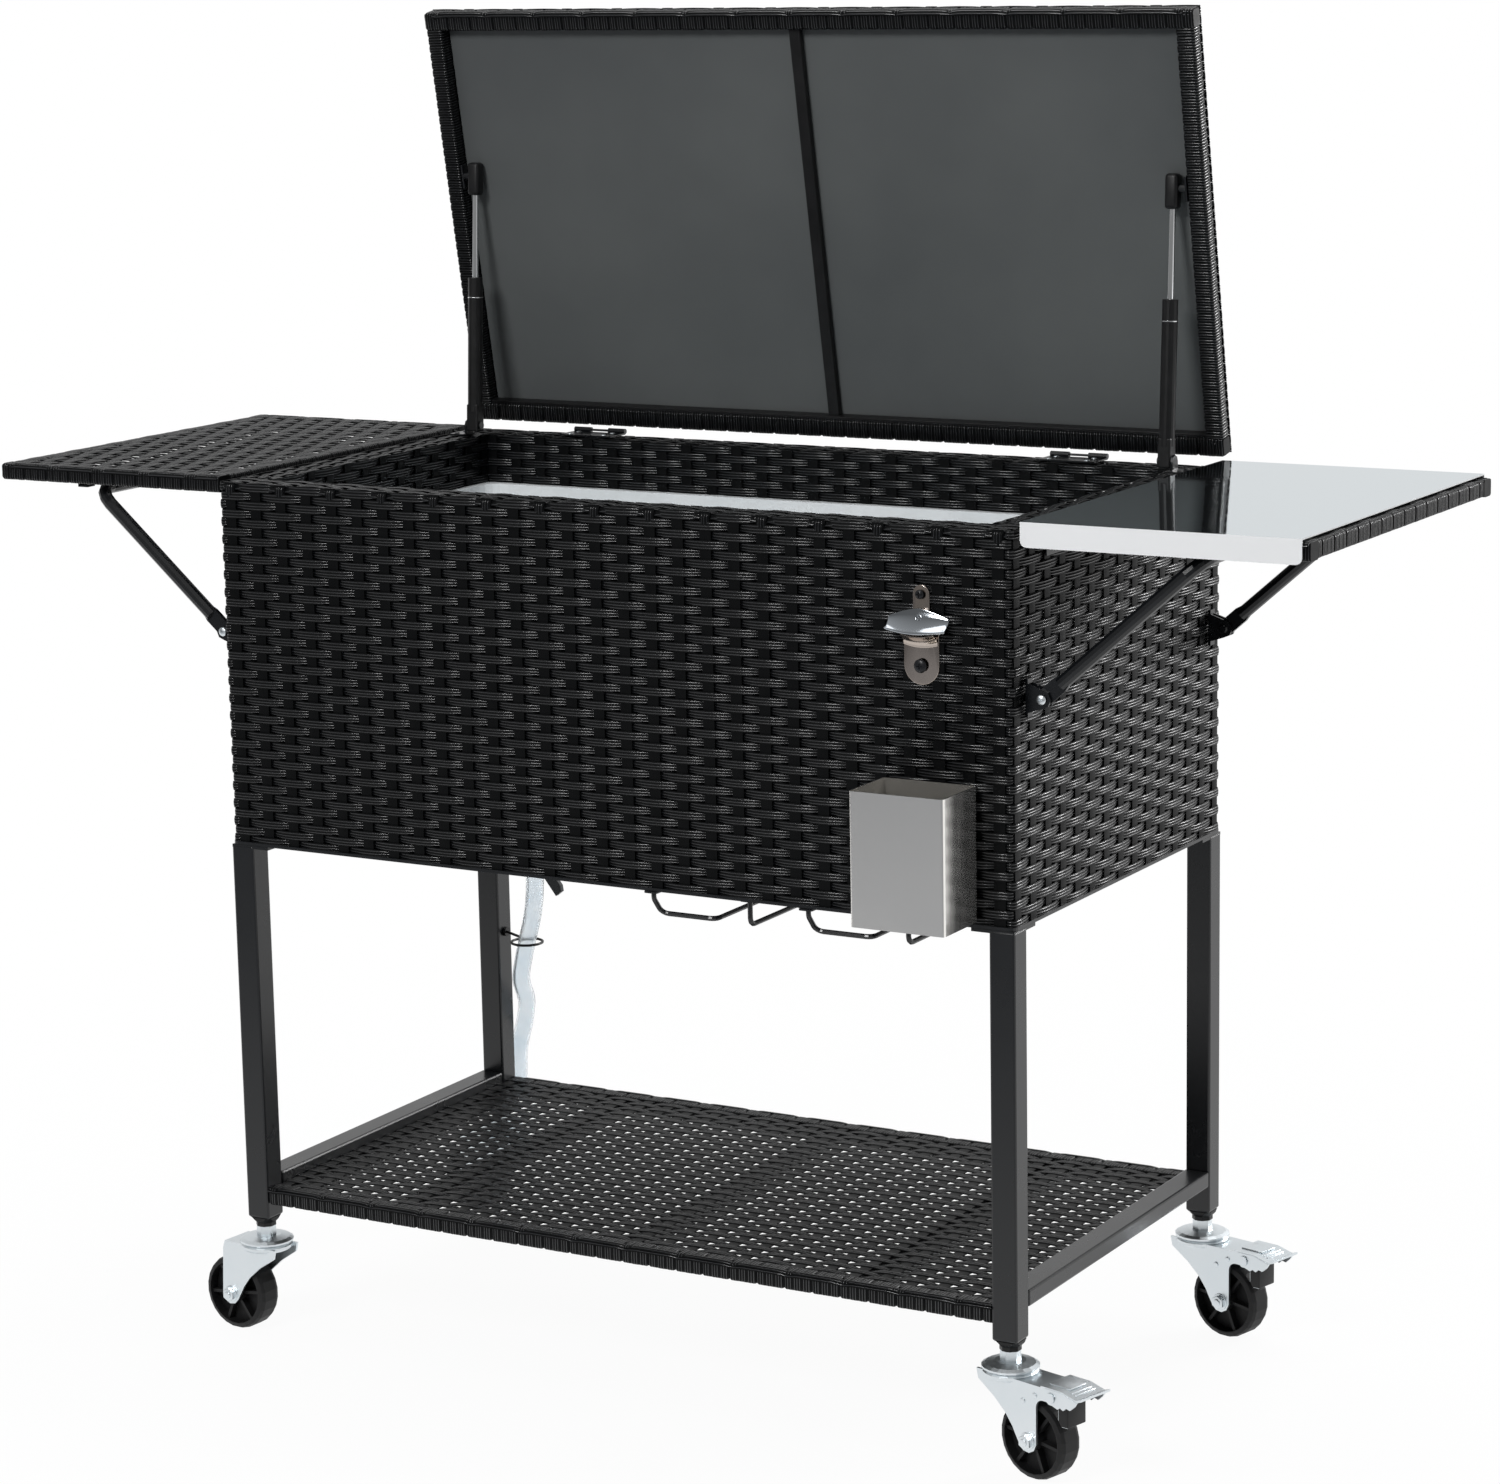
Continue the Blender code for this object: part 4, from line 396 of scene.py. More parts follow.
def hose_material():
    """Clear PVC hose, milky and bluish, with a glossy skin."""
    material, tree, shader = new_material("clear_pvc_hose", "#e6f0f7", 0.3,
                                          Transmission_Weight=0.9, IOR=1.12,
                                          Subsurface_Weight=0.1,
                                          Subsurface_Radius=(6 * MM, 7 * MM, 8 * MM))
    mottle(tree, shader, 30.0, "#eef5fa", "#fafdff", 0.15, 0.25)
    return material


MATERIALS = {}


def make_materials():
    _, finish = settings()
    MATERIALS.update(
        rattan=rattan_material(), paint=paint_material(), liner=liner_material(),
        tub=tub_material(), zinc=zinc_material(),
        polished=steel_material("polished_stainless", finish.steel, 0.06, 0.12),
        brushed=steel_material("satin_stainless", "#f4f2ee", 0.16, 0.24, 0.94),
        plastic=plastic_material("black_nylon", "#0d0d0e", "#161617", 0.36, 0.48),
        rubber=plastic_material("black_rubber", "#101011", "#1a1a1b", 0.50, 0.64),
        black_steel=plastic_material("black_oxide_steel", "#121214", "#1c1d20", 0.24, 0.34),
        plate=steel_material("opener_plate_steel", "#b8ada4", 0.10, 0.18),
        hood=steel_material("opener_hood_steel", "#a1a6ab", 0.06, 0.12), pan=pan_material(),
        grey=plastic_material("grey_abs", "#2c2f31", "#3a3e40", 0.35, 0.50),
        hose=hose_material())


def finish_with(obj, name):
    obj.data.materials.clear()
    obj.data.materials.append(MATERIALS[name])


def dressed(parts, finish, body):
    """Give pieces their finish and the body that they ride."""
    for part in parts:
        finish_with(part, finish)
        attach(part, body)


# Modelling helpers

def start(adder, name, **sizes):
    """Add a primitive with nothing else selected, and name it."""
    bpy.ops.object.select_all(action="DESELECT")
    adder(**sizes)
    obj = bpy.context.object
    obj.name = name
    obj.data.name = name
    return obj


def activate(obj):
    bpy.ops.object.select_all(action="DESELECT")
    obj.select_set(True)
    bpy.context.view_layer.objects.active = obj


@contextmanager
def editing(obj):
    """Edit mode on this object alone, for the calls inside the block."""
    activate(obj)
    bpy.ops.object.mode_set(mode="EDIT")
    yield
    bpy.ops.object.mode_set(mode="OBJECT")


def shaped(obj, kind, **values):
    """Add a modifier, set it and apply it."""
    activate(obj)
    modifier = obj.modifiers.new(kind.lower(), kind)
    for key, value in values.items():
        setattr(modifier, key, value)
    bpy.ops.object.modifier_apply(modifier=modifier.name)
    return obj


def place(obj, matrix):
    obj.data.transform(matrix)
    return obj


def joined(name, objects):
    bpy.ops.object.select_all(action="DESELECT")
    for obj in objects:
        obj.select_set(True)
    bpy.context.view_layer.objects.active = objects[0]
    bpy.ops.object.join()
    objects[0].name = name
    objects[0].data.name = name
    return objects[0]


def smooth(obj, degrees=40):
    activate(obj)
    bpy.ops.object.shade_smooth_by_angle(angle=math.radians(degrees))


def bowed(near):
    """Height of a strand between the stake it passes under, 0, and over, 1."""
    return 1 - 2 * math.exp(-(near / DIP_WIDTH) ** 2) - SAG * (1 - near) ** 2


def spread(count, pitch):
    """Places of a count of stakes about the middle."""
    return [(i - (count - 1) / 2) * pitch for i in range(count)]


def crossing(place, stakes):
    """How many stakes a strand has passed at a place, with a share for the next."""
    if place <= stakes[0]:
        return (place - stakes[0]) / (stakes[1] - stakes[0])
    for index, (before, after) in enumerate(zip(stakes, stakes[1:])):
        if place <= after:
            return index + (place - before) / (after - before)
    return len(stakes) - 1 + (place - stakes[-1]) / (stakes[-1] - stakes[-2])


def steps_along(length, step):
    count = max(2, round(length / step))
    return [length * (i / count - 0.5) for i in range(count + 1)]


def weaver(stakes, phase, swing):
    """How far a weaver stands out at a place, under every second stake."""
    return lambda place: swing * bowed(abs((crossing(place, stakes) + phase) % 2 - 1))


def with_dips(stations, stakes, phase):
    """The stations of a weaver, with more of them where it dips under a stake."""
    marks = list(stations)
    for index, stake in enumerate(stakes):
        if (index + phase) % 2:
            marks += [stake + share * DIP_REACH for share in DIP_SHARES]
    marks = sorted(mark for mark in marks if stations[0] <= mark <= stations[-1])
    kept = [marks[0]]
    for mark in marks[1:]:
        if mark - kept[-1] > LEAST_STEP:
            kept.append(mark)
    kept[-1] = stations[-1]
    return kept


def flat_lay(place):
    """Where a straight strand runs: its point and its outward way, in X and Z."""
    return (place, 0), (0, 1)


def ribbon(stations, width, thick, lift, lay=flat_lay, crown=0.55):
    """A flat strand with rounded edges that runs through its stations.

    lay gives the point and the outward way at a station, and lift how far the
    strand stands out there. The strand's width lies along Y.
    """
    last = len(stations) - 1
    strand = start(bpy.ops.mesh.primitive_grid_add, "strand", x_subdivisions=last,
                   y_subdivisions=3, size=1)
    mesh = strand.data
    length = stations[-1] - stations[0]
    for loop in mesh.uv_layers["UVMap"].data:
        loop.uv = (loop.uv[0] * length, (loop.uv[1] - 0.5) * width)
    for vertex in mesh.vertices:
        station = stations[round((vertex.co.x + 0.5) * last)]
        across = vertex.co.y * 2
        (x, z), (out_x, out_z) = lay(station)
        height = lift(station) - thick * crown * across ** 2
        vertex.co = (x + out_x * height, across * width / 2, z + out_z * height)
    return shaped(strand, "SOLIDIFY", thickness=thick, offset=-1)


def groove_shaded(stake):
    """Gives a stake the near-black of the grooves, a painted shade, and their dull finish, with no
    ribs.
    """
    weave, _ = settings()
    for loop in stake.data.uv_layers["UVMap"].data:
        loop.uv = (loop.uv[0], weave.rib / 2)
    return stake


def repeated(strand, count, step):
    """Copies of a strand, each one step further."""
    return shaped(strand, "ARRAY", count=count, use_relative_offset=False,
                  use_constant_offset=True, constant_offset_displace=step)


def woven_panel(name, length, height, rows, stakes, matrix, fill=0.97, swing=None,
                stake_width=None):
    """Plain weave in its own X-Y plane, facing +Z, weavers along X."""
    weave, _ = settings()
    swing = swing or weave.swing
    pitch = height / rows
    stations = steps_along(length, STEP)
    parts = []
    for phase in range(2):
        strand = ribbon(with_dips(stations, stakes, phase), pitch * fill, weave.thick,
                        weaver(stakes, phase, swing))
        place(strand, Matrix.Translation((0, pitch * (phase + 0.5) - height / 2, 0)))
        parts.append(repeated(strand, (rows - phase + 1) // 2, (0, 2 * pitch, 0)))
    for x in stakes:
        stake = ribbon(steps_along(height, STAKE_STEP), stake_width or weave.stake,
                       weave.thick, lambda y: weave.thick / 2, crown=0.3)
        place(stake, Matrix.Translation((x, 0, 0)) @ Matrix.Rotation(math.pi / 2, 4, "Z"))
        parts.append(groove_shaded(stake))
    panel = joined(name, parts)
    smooth(panel)
    return place(panel, matrix)


def loop_lay(half_w, half_d, radius):
    """Rounded rectangle for strands that run round the box.

    The first half goes along the front and the right side, the second along the
    rear and the left side. It gives the lay of a half, its stations and its
    length up to the next corner.
    """
    wide, deep, turn = 2 * (half_w - radius), 2 * (half_d - radius), math.pi / 2 * radius

    def lay(s):
        if s <= wide:
            return (s - wide / 2, half_d), (0, 1)
        angle = (s - wide) / radius
        if angle <= math.pi / 2:
            out = (math.sin(angle), math.cos(angle))
            return (wide / 2 + radius * out[0], deep / 2 + radius * out[1]), out
        s -= wide + turn
        if s <= deep:
            return (half_w, deep / 2 - s), (1, 0)
        angle = (s - deep) / radius
        out = (math.cos(angle), -math.sin(angle))
        return (wide / 2 + radius * out[0], -deep / 2 + radius * out[1]), out

    stations = []
    for begin, length, step in ((0, wide, STEP), (wide, turn, CORNER_STEP),
                                (wide + turn, deep, STEP),
                                (wide + turn + deep, turn, CORNER_STEP)):
        count = round(length / step)
        stations += [begin + length * i / count for i in range(count)]
    return lay, stations + [wide + deep + 2 * turn]


def edge_lay(s):
    """Lay of a strand that comes level to a rounded edge and turns down over it."""
    if s <= 0:
        return (s - EDGE_RADIUS, 0), (0, 1)
    angle = s / EDGE_RADIUS
    if angle <= math.pi / 2:
        out = (math.sin(angle), math.cos(angle))
        return (EDGE_RADIUS * (out[0] - 1), EDGE_RADIUS * (out[1] - 1)), out
    return (0, math.pi / 2 * EDGE_RADIUS - s - EDGE_RADIUS), (1, 0)


def facing(point, across, out):
    """Matrix of a panel at a point: its X runs across and its Z faces out."""
    across, out = Vector(across), Vector(out)
    up = out.cross(across)
    turn = Matrix((across, up, out)).transposed().to_4x4()
    return Matrix.Translation(point) @ turn


def outline_point(share, width, height):
    """A point on a rectangle with round corners, at a share of a full turn."""
    c, s = math.cos(TAU * share), math.sin(TAU * share)
    return (width / 2 * math.copysign(abs(c) ** SQUARENESS, c),
            height / 2 * math.copysign(abs(s) ** SQUARENESS, s))


def uneven(index):
    """A repeatable value from -1 to 1 for the wrap of this number."""
    return math.sin(index * 12.9898) * 43758.5453 % 2 - 1


def wrapped_bar(name, length, width, height, matrix, strand=None, group=1):
    """A bar along its own X, wound side by side with flat strands.

    group is how many wraps stand between two deeper joints.
    """
    weave, _ = settings()
    count = max(1, round(length / (strand or weave.strand)))
    pitch = length / count
    wrap = start(bpy.ops.mesh.primitive_grid_add, name, x_subdivisions=4,
                 y_subdivisions=BAR_SIDES, size=1)
    mesh = wrap.data
    for loop in mesh.uv_layers["UVMap"].data:
        loop.uv = (loop.uv[1] * (width + height) * 2, (loop.uv[0] - 0.5) * pitch)
    for vertex in mesh.vertices:
        y, z = outline_point(vertex.co.y + 0.5, width, height)
        vertex.co = (vertex.co.x * pitch, y, z)
    tidy_mesh(wrap)
    place(wrap, Matrix.Translation((pitch / 2 - length / 2, 0, 0)))
    shaped(wrap, "ARRAY", count=count, use_relative_offset=False, use_constant_offset=True,
           constant_offset_displace=(pitch, 0, 0), use_merge_vertices=True,
           merge_threshold=0.02 * MM)
    for vertex in wrap.data.vertices:
        at = (vertex.co.x + length / 2) / pitch
        edge = 2 * abs(at % 1 - 0.5)
        joint = round(at) % group == 0
        gap = GAP_DEPTH if group == 1 else JOINT_DEPTH if joint else SEAM_DEPTH
        sink = gap * edge ** GAP_POWER
        sink += UNEVEN_DEPTH * (1 + uneven(int(at))) * (1 - edge)
        y, z = vertex.co.y, vertex.co.z
        far = math.hypot(y, z)
        vertex.co.y -= y / far * sink
        vertex.co.z -= z / far * sink
    with editing(wrap):
        bpy.ops.mesh.select_mode(type="EDGE")
        bpy.ops.mesh.select_all(action="DESELECT")
        bpy.ops.mesh.select_non_manifold()
        bpy.ops.mesh.edge_face_add()
        bpy.ops.mesh.select_all(action="SELECT")
        bpy.ops.mesh.normals_make_consistent(inside=False)
    smooth(wrap, 55)
    return place(wrap, matrix)


def tidy_mesh(obj):
    """Merge doubled points and turn all faces outwards."""
    with editing(obj):
        bpy.ops.mesh.select_all(action="SELECT")
        bpy.ops.mesh.remove_doubles(threshold=0.01 * MM)
        bpy.ops.mesh.normals_make_consistent(inside=False)


def lashing(name, length, stakes, matrix, width=LASH_WIDTH):
    """A strand laid along an edge that dips under every second stake."""
    weave, _ = settings()

    def lift(x):
        near = crossing(x, stakes) % 2
        gap = min(near, 2 - near)
        return -LASH_DIP * max(0, 1 - gap / LASH_REACH) ** 1.5

    strand = ribbon(steps_along(length, LASH_STEP), width, weave.thick, lift,
                    crown=LASH_CROWN)
    smooth(strand)
    strand.name = name
    strand.data.name = name
    return place(strand, matrix)


def block(name, low, high, edge, steps=2):
    """A block between two opposite corners, with rounded edges."""
    low, high = [Vector([pick(pair) for pair in zip(low, high)]) for pick in (min, max)]
    obj = start(bpy.ops.mesh.primitive_cube_add, name, size=1)
    obj.data.transform(Matrix.LocRotScale((low + high) / 2, None, high - low))
    with editing(obj):
        bpy.ops.mesh.select_all(action="SELECT")
        bpy.ops.mesh.bevel(offset=edge, segments=steps, affect="EDGES")
    return obj


# Operators

class COOLER_OT_stage(bpy.types.Operator):
    """Make the floor, the lights and the camera"""
    bl_idname = "cooler.stage"
    bl_label = "Stage"

    FLOOR = 24
    CLIP = 60
    # Dark grey of the floor out in front, a painted shade that stands for a dim room there, and
    # the span in Y where it gives way to the pale floor
    FRONT_SHADE_GREY = "#86888c"
    FRONT_SHADE_END = (-1.6, -0.5)
    FADE = (0.6, 1.8)
    AIM = (0, 0, 0.6)
    BEHIND = (0.12, 0.9, 0.3)
    GLOSSY = 0.8

    def execute(self, context):
        stage = context.scene.cooler_stage
        self.camera(context)
        self.floor(stage)
        self.lights(stage)
        self.room(context, stage)
        context.scene.view_settings.view_transform = "Standard"
        return {"FINISHED"}

    def camera(self, context):
        data = bpy.data.cameras.new("camera")
        data.lens = VIEW_LENS
        data.shift_x, data.shift_y = VIEW_SHIFT
        data.clip_end = self.CLIP
        camera = bpy.data.objects.new("camera", data)
        context.scene.collection.objects.link(camera)
        ahead = Vector((-math.sin(VIEW_YAW) * math.cos(VIEW_PITCH),
                        math.cos(VIEW_YAW) * math.cos(VIEW_PITCH), -math.sin(VIEW_PITCH)))
        right = Vector((math.cos(VIEW_YAW), math.sin(VIEW_YAW), 0))
        up = right.cross(ahead)
        side = right * math.cos(VIEW_ROLL) + up * math.sin(VIEW_ROLL)
        top = up * math.cos(VIEW_ROLL) - right * math.sin(VIEW_ROLL)
        turn = Matrix((side, top, -ahead)).transposed().to_4x4()
        point = Vector(VIEW_FROM) + Vector((0, BACK_SHIFT, 0))
        camera.matrix_world = Matrix.Translation(point) @ turn
        context.scene.camera = camera

    def floor(self, stage):
        """Pale floor that fades to white away from the cart; out in front it is dark grey, a
        painted shade that darkens what the cart's front faces reflect.
        """
        floor = start(bpy.ops.mesh.primitive_plane_add, "floor", size=1)
        floor.data.transform(Matrix.Scale(self.FLOOR, 4))
        material, tree, shader = new_material("studio_floor", stage.floor, 0.6)
        spot = add(tree, "TexCoord")
        parts = add(tree, "SeparateXYZ", [(spot.outputs["Object"], "Vector")])
        nearness = add(tree, "MapRange", [(parts.outputs["Y"], "Value")],
                       in_1=self.FRONT_SHADE_END[0], in_2=self.FRONT_SHADE_END[1])
        # Out in front the floor is painted dark grey, a painted shade in what the front faces
        # reflect
        front_shade = add(tree, "Mix", [(nearness.outputs["Result"], 0)], data_type="RGBA",
                    in_6=linear(self.FRONT_SHADE_GREY), in_7=linear(stage.floor))
        tree.links.new(front_shade.outputs[2], shader.inputs["Base Color"])
        path = add(tree, "LightPath")
        white = add(tree, "Emission", in_Color=(1, 1, 1, 1), in_Strength=1.0)
        away = add(tree, "VectorMath", [(spot.outputs["Object"], 0)],
                   operation="LENGTH")
        fade = add(tree, "MapRange", [(away.outputs["Value"], "Value")],
                   in_1=self.FADE[0], in_2=self.FADE[1], in_3=0.95)
        direct = add(tree, "Math", [(path.outputs["Is Camera Ray"], 0),
                                              (path.outputs["Is Transmission Ray"], 1)],
                     operation="MAXIMUM")
        mirrored = add(tree, "Math", [(path.outputs["Is Glossy Ray"], 0),
                                                (nearness.outputs["Result"], 1)],
                       operation="MULTIPLY")
        seen = add(tree, "Math", [(direct.outputs[0], 0), (mirrored.outputs[0], 1)],
                   operation="MAXIMUM")
        share = add(tree, "Math", [(seen.outputs[0], 0), (fade.outputs["Result"], 1)],
                    operation="MULTIPLY")
        mix = add(tree, "MixShader", [(share.outputs[0], "Fac"),
                                                (shader.outputs["BSDF"], 1),
                                                (white.outputs["Emission"], 2)])
        output = tree.nodes["Material Output"]
        tree.links.new(mix.outputs["Shader"], output.inputs["Surface"])
        floor.data.materials.append(material)

    def lights(self, stage):
        for name, power, point, size in (
                ("key_light", stage.key, (-0.35, -3.5, 3.0), 1.1),
                ("rim_light", stage.rim, (2.3, 3.5, 1.8), 1.0),
                ("top_light", stage.top, (-0.2, 0.6, 3.4), 2.4)):
            data = bpy.data.lights.new(name, "AREA")
            data.energy = power
            data.shape = "SQUARE"
            data.size = size
            lamp = bpy.data.objects.new(name, data)
            bpy.context.scene.collection.objects.link(lamp)
            aim = Vector(self.AIM) - Vector(point)
            lamp.matrix_world = (Matrix.Translation(point)
                                 @ aim.to_track_quat("-Z", "Y").to_matrix().to_4x4())

    def room(self, context, stage):
        """A room that is white behind and above the cart and dim in front of it."""
        world = bpy.data.worlds.new("room")
        world.use_nodes = True
        tree = world.node_tree
        tree.nodes.clear()
        way = add(tree, "TexCoord")
        behind = add(tree, "VectorMath", [(way.outputs["Generated"], 0)],
                     operation="DOT_PRODUCT", in_1=self.BEHIND)
        glow = add(tree, "MapRange", [(behind.outputs["Value"], "Value")],
                   in_1=-0.45, in_2=0.45, in_3=stage.front)
        path = add(tree, "LightPath")
        soft = add(tree, "MapRange", [(path.outputs["Is Glossy Ray"], "Value")],
                   in_3=stage.sky, in_4=self.GLOSSY)
        strength = add(tree, "Math", [(glow.outputs["Result"], 0),
                                                (soft.outputs["Result"], 1)],
                       operation="MULTIPLY")
        light = add(tree, "Background", [(strength.outputs[0], "Strength")],
                    in_Color=(1, 1, 1, 1))
        white = add(tree, "Background", in_Color=(1, 1, 1, 1), in_Strength=1.0)
        seen = add(tree, "Math", [(path.outputs["Is Camera Ray"], 0),
                                            (path.outputs["Is Transmission Ray"], 1)],
                   operation="MAXIMUM")
        mix = add(tree, "MixShader", [(seen.outputs[0], "Fac"),
                                                (light.outputs["Background"], 1),
                                                (white.outputs["Background"], 2)])
        add(tree, "OutputWorld", [(mix.outputs["Shader"], "Surface")])
        context.scene.world = world


class COOLER_OT_finishes(bpy.types.Operator):
    """Give the CAD pieces that stay their real finishes"""
    bl_idname = "cooler.finishes"
    bl_label = "Finishes"

    TABLE = {
        "paint": ("leg_front_*", "leg_rear_*", "side_rail_*", "bottom_panel", "brace_*",
                  "lid_hinge_*", "strut_ear_*", "strut_stud_*", "stemware_rack_*"),
        "liner": ("lid_lining",),
        "tub": ("ice_tub",),
        "pan": ("right_tray_pan",),
        "brushed": ("cap_catcher",),
        "zinc": ("caster_stem_*", "caster_fork_*", "brake_pedal_*"),
        "plastic": ("strut_tube_*", "leg_plug_*", "hose_tie"),
        "rubber": ("caster_wheel_*",),
        "grey": ("drain_fitting", "drain_tap_lever"),
    }

    def execute(self, context):
        for finish, patterns in self.TABLE.items():
            for name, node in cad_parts.items():
                if any(fnmatch(name, pattern) for pattern in patterns):
                    finish_with(node, finish)
        return {"FINISHED"}


class COOLER_OT_hose(bpy.types.Operator):
    """Make the drain hose along the frame's own route"""
    bl_idname = "cooler.hose"
    bl_label = "Drain hose"

    OUTER = 9.3 * MM
    INNER = 7.2 * MM
    STEP = 8 * MM
    TOP = (-0.3045, 0.1340)
    STRAIGHT_TO = 0.4120
    ROUTE = (
        (-0.3065, 0.1365, 0.3920),
        (-0.3135, 0.1450, 0.3700),
        (-0.3270, 0.1600, 0.3450),
        (-0.3450, 0.1795, 0.3200),
        (-0.3615, 0.1960, 0.2930),
        (-0.3740, 0.2090, 0.2650),
        (-0.3800, 0.2275, 0.2380),
        (-0.3905, 0.2395, 0.2120),
        (-0.4010, 0.2435, 0.1800),
        (-0.4040, 0.2455, 0.1500),
        (-0.4050, 0.2460, 0.1250),
    )

    def execute(self, context):
        shift = Vector((0, BACK_SHIFT, 0))
        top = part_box("drain_hose")[1].z
        route = ((*self.TOP, top), (*self.TOP, self.STRAIGHT_TO), *self.ROUTE)
        path = smooth_path([Vector(point) + shift for point in route], self.STEP)
        curve = bpy.data.curves.new("route", "CURVE")
        curve.dimensions = "3D"
        curve.bevel_depth = self.OUTER
        curve.bevel_resolution = 6
        spline = curve.splines.new("POLY")
        spline.points.add(len(path) - 1)
        for point, spot in zip(spline.points, path):
            point.co = (*spot, 1)
        hose = bpy.data.objects.new("clear_drain_hose", curve)
        context.collection.objects.link(hose)
        activate(hose)
        bpy.ops.object.convert(target="MESH")
        hose = context.object
        shaped(hose, "SOLIDIFY", thickness=self.OUTER - self.INNER, offset=-1)
        smooth(hose)
        dressed([hose], "hose", "cart")
        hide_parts("drain_hose")
        return {"FINISHED"}


def smooth_path(points, step):
    """Points about a step apart on a smooth curve through the given ones."""
    ends = [points[0] * 2 - points[1]] + points + [points[-1] * 2 - points[-2]]
    path = []
    for a, b, c, d in zip(ends, ends[1:], ends[2:], ends[3:]):
        count = max(1, round((c - b).length / step))
        for part in range(count):
            t = part / count
            path.append(0.5 * (2 * b + (c - a) * t + (2 * a - 5 * b + 4 * c - d) * t ** 2
                               + (3 * b - a - 3 * c + d) * t ** 3))
    return path + [points[-1]]


class COOLER_OT_box(bpy.types.Operator):
    """Weave the box walls, the rim and its inner drop"""
    bl_idname = "cooler.box"
    bl_label = "Woven box"

    CORNER = 5 * MM
    FOOT = 1 * MM
    EDGE_IN = 2.6 * MM
    EDGE_WIDTH = 7 * MM
    TRIM = 8 * MM
    LOOP_WIDTH = 10 * MM
    LOOP_LIFT = 0.9 * MM
    LOOP_SINK = 1 * MM
    RIM_ROWS = 5
    DROP_ROWS = 6
    SKIN = 1 * MM
    SKIN_BEHIND = 3.2 * MM
    SKIN_FOOT = 4 * MM

    def execute(self, context):
        weave, _ = settings()
        self.inset = weave.swing + weave.thick / 2
        self.front = spread(weave.front_stakes, FRONT_PITCH)
        self.side = spread(weave.side_stakes, SIDE_PITCH)
        walls = [self.walls("front_right", 1), self.walls("rear_left", -1)]
        parts = walls + self.rim() + self.loops() + self.drops() + [self.backing()]
        dressed(parts, "rattan", "cart")
        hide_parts("box_shell")
        return {"FINISHED"}

    def walls(self, name, way):
        """Two walls that meet at a corner, their weavers bent round it."""
        weave, _ = settings()
        half_w, half_d = BOX_HALF_W - weave.swing, BOX_HALF_D - weave.swing
        lay, stations = loop_lay(half_w, half_d, self.CORNER)
        side_start = 2 * (half_w - self.CORNER) + math.pi / 2 * self.CORNER
        stakes = [x + half_w - self.CORNER for x in self.front]
        stakes += [y + side_start + half_d - self.CORNER for y in self.side]
        total = stations[-1]
        passed = [stakes[-1] - total] + stakes + [stakes[0] + total]
        height = BOX_TOP - BOX_BOTTOM - self.FOOT
        pitch = height / weave.rows
        parts = []
        for phase in range(2):
            strand = ribbon(with_dips(stations, passed, phase), pitch * 0.97, weave.thick,
                            weaver(passed, phase, weave.swing), lay)
            place(strand, Matrix.Translation((0, pitch * (phase + 0.5), 0)))
            parts.append(repeated(strand, (weave.rows - phase + 1) // 2, (0, 2 * pitch, 0)))
        for s in stakes:
            (x, z), out = lay(s)
            stake = ribbon([-height / 2, 0, height / 2], weave.stake, weave.thick,
                           lambda y: weave.thick / 2, crown=0.3)
            place(stake, facing((x, height / 2, z), (0, 1, 0), (out[0], 0, out[1])))
            parts.append(groove_shaded(stake))
        walls = joined("woven_walls_" + name, parts)
        smooth(walls)
        return place(walls, facing((0, BACK_SHIFT, BOX_BOTTOM + self.FOOT), (way, 0, 0),
                                   (0, -way, 0)))

    def rim(self):
        """The woven top of the walls, with a strand lashed along its outer edge."""
        weave, _ = settings()
        panels = []
        width = RIM - self.TRIM / 2
        z = BOX_TOP - weave.swing
        edge_z = BOX_TOP - self.EDGE_IN
        for name, side in ENDS:
            y = side * (BOX_HALF_D - RIM / 2) + BACK_SHIFT
            length = 2 * BOX_HALF_W - self.TRIM
            panels.append(woven_panel("woven_rim_" + name, length, width, self.RIM_ROWS,
                                      self.front, facing((0, y, z), ALONG, UP)))
            point = (0, side * (BOX_HALF_D - self.EDGE_IN) + BACK_SHIFT, edge_z)
            panels.append(lashing("lashed_edge_" + name, length, self.front,
                                  facing(point, ALONG, (0, side * SLANT, SLANT)),
                                  self.EDGE_WIDTH))
        for name, side in SIDES:
            x = side * (BOX_HALF_W - RIM / 2)
            panels.append(woven_panel("woven_rim_" + name, 2 * (BOX_HALF_D - RIM), width,
                                      self.RIM_ROWS, self.side[1:-1],
                                      facing((x, BACK_SHIFT, z), BACK, UP)))
            point = (side * (BOX_HALF_W - self.EDGE_IN), BACK_SHIFT, edge_z)
            panels.append(lashing("lashed_edge_" + name, 2 * BOX_HALF_D - self.TRIM, self.side,
                                  facing(point, BACK, (side * SLANT, 0, SLANT)),
                                  self.EDGE_WIDTH))
        return panels

    def loops(self):
        """Stakes that come over the outer edge of the rim, every second one."""
        weave, _ = settings()
        panels = []
        chosen = self.front[::2]
        for name, side in ENDS:
            loop = ribbon(EDGE_STATIONS, self.LOOP_WIDTH, weave.thick, lambda s: self.LOOP_LIFT,
                          edge_lay)
            point = (chosen[0], side * (BOX_HALF_D - self.LOOP_SINK) + BACK_SHIFT,
                     BOX_TOP - self.LOOP_SINK)
            place(loop, facing(point, (0, side, 0), UP))
            loops = repeated(loop, len(chosen), (chosen[1] - chosen[0], 0, 0))
            loops.name = "rim_loops_" + name
            smooth(loops)
            panels.append(loops)
        return panels

